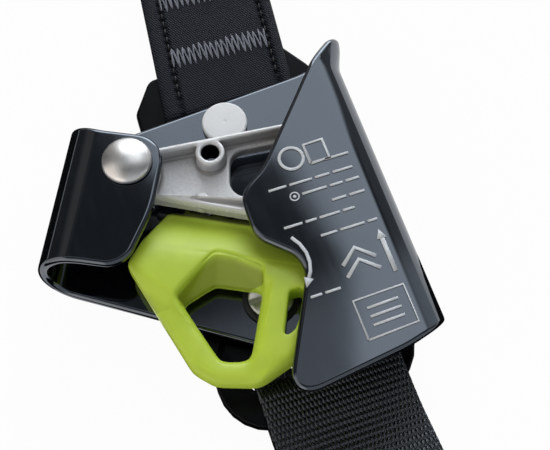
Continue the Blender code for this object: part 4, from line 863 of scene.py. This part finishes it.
twill = {"across": 1.24 * mm, "along": 1.95 * mm, "height": 0.42 * mm, "step": 0.5, "wide": 0.42,
         "long": 0.58}


def lowerRelief(across, along):
    row = along / twill["along"]
    place = row - math.floor(row) - 0.5
    column = across / twill["across"] + math.floor(row) * twill["step"]
    offset = column - math.floor(column) - 0.5
    bump = math.sqrt(max(0.0, 1 - (offset / twill["wide"]) ** 2 - (place / twill["long"]) ** 2))
    edge = max(0.0, (abs(across) - web["width"] / 2 + 1.2 * mm) / (1.2 * mm))
    return twill["height"] * (bump - 0.5) - hem["crown"] * edge * edge


curlUp = {"start": 62.0 * mm, "length": 13.0 * mm, "slope": 0.3}


def lowerCurl(along):
    # The lower webbing lifts towards the viewer past the bar.
    share = (along - curlUp["start"]) / curlUp["length"]
    if share <= 0:
        return 0.0
    eased = share ** 3 - share ** 4 / 2 if share < 1 else share - 0.5
    return curlUp["slope"] * curlUp["length"] * eased


upper = {"bar": 46.2 * mm, "end": 100.0 * mm, "lean": 0.1, "cells": (100, 210), "thin": (0.3, 0.55)}
lower = {"bar": 50.2 * mm, "end": 92.0 * mm, "lean": 0.0, "cells": (240, 196), "thin": (0.2, 0.56)}
upperStrap = strapPiece("upperStrap", fineWeb, "upper_strap", upper["bar"], upper["end"], upper["lean"],
                        lambda along: 0.0, upper["cells"], upper["thin"], upperRelief, 1)
lowerStrap = strapPiece("lowerStrap", coarseWeb, "lower_strap", lower["bar"], lower["end"], lower["lean"],
                        lowerCurl, lower["cells"], lower["thin"], lowerRelief, -1)
print("straps laid")

# Bar tacks and running stitches on the upper webbing
tack = {"rows": (66.1 * mm, 89.3 * mm), "height": 7.4 * mm, "pitch": 0.95 * mm, "thick": 0.36 * mm,
        "sink": 0.1 * mm, "arch": 0.5 * mm, "tilt": -0.045, "lean": 0.9 * mm, "stray": 1.3 * mm}
strays = random.Random(5)
webTop = web["front"] + web["thick"] / 2


def stitch(bm, start, end, thick):
    # One spindle of thread from start to end.
    middle = (start + end) / 2
    line = end - start
    turn = line.to_track_quat("Z", "Y").to_matrix().to_4x4()
    shape = Matrix.Translation(middle) @ turn @ Matrix.Diagonal((thick, thick, line.length / 2, 1.0))
    bmesh.ops.create_uvsphere(bm, u_segments=8, v_segments=7, radius=1.0, matrix=shape)


tacks = bmesh.new()
for row in tack["rows"]:
    driftRow = web["shift"] + upper["lean"] * (row - upper["bar"] - web["seat"])
    left = driftRow - web["width"] / 2 + hem["left"] + 0.2 * mm
    right = driftRow + web["width"] / 2 - hem["right"] - 0.3 * mm
    count = int((right - left) / tack["pitch"])
    for index in range(count):
        x = left + (right - left) * (index + 0.5) / count
        middle = row + tack["tilt"] * (x - driftRow) + strays.uniform(-0.5, 0.5) * tack["stray"]
        lean = tack["lean"] / 2 if index % 2 else -tack["lean"] / 2
        high = Vector((x - lean, middle + tack["height"] / 2, webTop - tack["sink"]))
        low = Vector((x + lean, middle - tack["height"] / 2, webTop - tack["sink"]))
        crest = (low + high) / 2 + Vector((strays.uniform(-0.2, 0.2) * mm, 0.8 * mm, tack["arch"]))
        thick = tack["thick"] * strays.uniform(0.8, 1.15)
        overlap = (high - low) * 0.12
        stitch(tacks, low, crest + overlap, thick)
        stitch(tacks, crest - overlap, high, thick)
barTacks = adopt(tacks, "barTacks", thread, "body", "black_webbing")

seams = bmesh.new()
for inset, side in ((hem["left"], -1), (hem["right"], 1)):
    for index in range(hem["stitches"]):
        along = (hem["firstStitch"] + index) * hem["pitch"]
        driftSeam = web["shift"] + upper["lean"] * (along - upper["bar"] - web["seat"])
        x = driftSeam + side * (web["width"] / 2 - inset)
        z = webTop - hem["groove"] + 0.05 * mm
        stitch(seams, Vector((x, along, z)), Vector((x + 0.3 * mm, along + 0.76 * hem["pitch"], z)),
               0.46 * mm)
hemSeams = adopt(seams, "hemSeams", blackThread, "body", "black_webbing")
print("stitches sewn")

# Printed marks on the flap: a ring with a dot, two arrows and plain bars
ink = {"lift": 0.02 * mm, "thick": 0.03 * mm, "steps": 40}
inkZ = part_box("body_shell")[1].z + ink["lift"]
marks = bmesh.new()


def inkShape(points):
    marks.faces.new([marks.verts.new((x, y, inkZ)) for x, y in points])


def inkStrip(line, wide):
    # A stroke of even width along a line of points.
    sides = []
    for index, point in enumerate(line):
        ahead = line[min(index + 1, len(line) - 1)] - line[max(index - 1, 0)]
        across = Vector((-ahead.y, ahead.x)).normalized() * wide / 2
        sides.append((marks.verts.new((*(point + across), inkZ)), marks.verts.new((*(point - across), inkZ))))
    for first, second in zip(sides, sides[1:]):
        marks.faces.new((first[0], first[1], second[1], second[0]))


def inkArrow(line, wide, headWide, headLong):
    inkStrip(line, wide)
    way = (line[-1] - line[-2]).normalized()
    across = Vector((-way.y, way.x)) * headWide / 2
    foot = line[-1] - way * 0.05 * mm
    inkShape([foot + across, foot - across, line[-1] + way * headLong])


def inkRing(centre, radius, wide):
    turn = [2 * math.pi * i / ink["steps"] for i in range(ink["steps"] + 1)]
    inkStrip([centre + Vector((math.cos(a), math.sin(a))) * radius for a in turn], wide)


def inkDot(centre, radius):
    bmesh.ops.create_circle(marks, cap_ends=True, segments=24, radius=radius,
                            matrix=Matrix.Translation((centre.x, centre.y, inkZ)))


inkArrow([Vector((26.1, -35.7)) * mm, Vector((25.95, -25.0)) * mm], 1.35 * mm, 3.0 * mm, 3.0 * mm)
sweep = [Vector((1.3, -16.6)), Vector((3.0, -19.3)), Vector((3.9, -22.4)), Vector((3.9, -25.4)),
         Vector((3.1, -28.2)), Vector((2.0, -30.0))]
inkArrow([point * mm for point in sweep], 1.0 * mm, 2.8 * mm, 3.0 * mm)
inkRing(Vector((6.5, -4.6)) * mm, 1.3 * mm, 0.4 * mm)
inkDot(Vector((6.5, -4.6)) * mm, 0.5 * mm)
rows = [(4.2, 19.1, (7.3,)), (-0.6, -0.2, (5.5, 7.0, 4.6, 6.2)), (-4.5, 8.9, (7.6, 4.0, 4.2)),
        (-9.1, 16.5, (4.4, 4.8)), (-13.3, 0.3, (5.6, 3.4, 6.2, 3.6)), (-18.8, 9.6, (5.0, 7.4, 3.0)),
        (-35.6, 0.6, (3.4, 4.6))]
for y, x, lengths in rows:
    for length in lengths:
        inkStrip([Vector((x, y)) * mm, Vector((x + length, y)) * mm], 0.75 * mm)
        x += length + 0.95
for y in (-33.4, -29.6):
    inkStrip([Vector((12.4, y)) * mm, Vector((17.4, y + 4.4)) * mm, Vector((22.4, y)) * mm], 1.15 * mm)
panel = [(11.6, -52.4), (26.8, -51.6), (26.6, -40.0), (11.4, -40.4), (11.6, -52.4)]
inkStrip([Vector(corner) * mm for corner in panel], 0.6 * mm)
for y in (-43.6, -46.2, -48.8):
    inkStrip([Vector((14.4, y)) * mm, Vector((23.8, y + 0.3)) * mm], 0.75 * mm)
inkRing(Vector((9.6, 7.6)) * mm, 3.6 * mm, 0.95 * mm)
square = [(14.6, 4.2), (20.6, 4.4), (20.4, 11.0), (14.4, 10.8), (14.6, 4.2)]
inkStrip([Vector(corner) * mm for corner in square], 0.95 * mm)
bmesh.ops.recalc_face_normals(marks, faces=marks.faces)
flapMarks = adopt(marks, "flapMarks", printInk, "body", "bright_alloy")
film = flapMarks.modifiers.new("film", "SOLIDIFY")
film.thickness = ink["thick"]
film.offset = 0.0
print("marks printed")
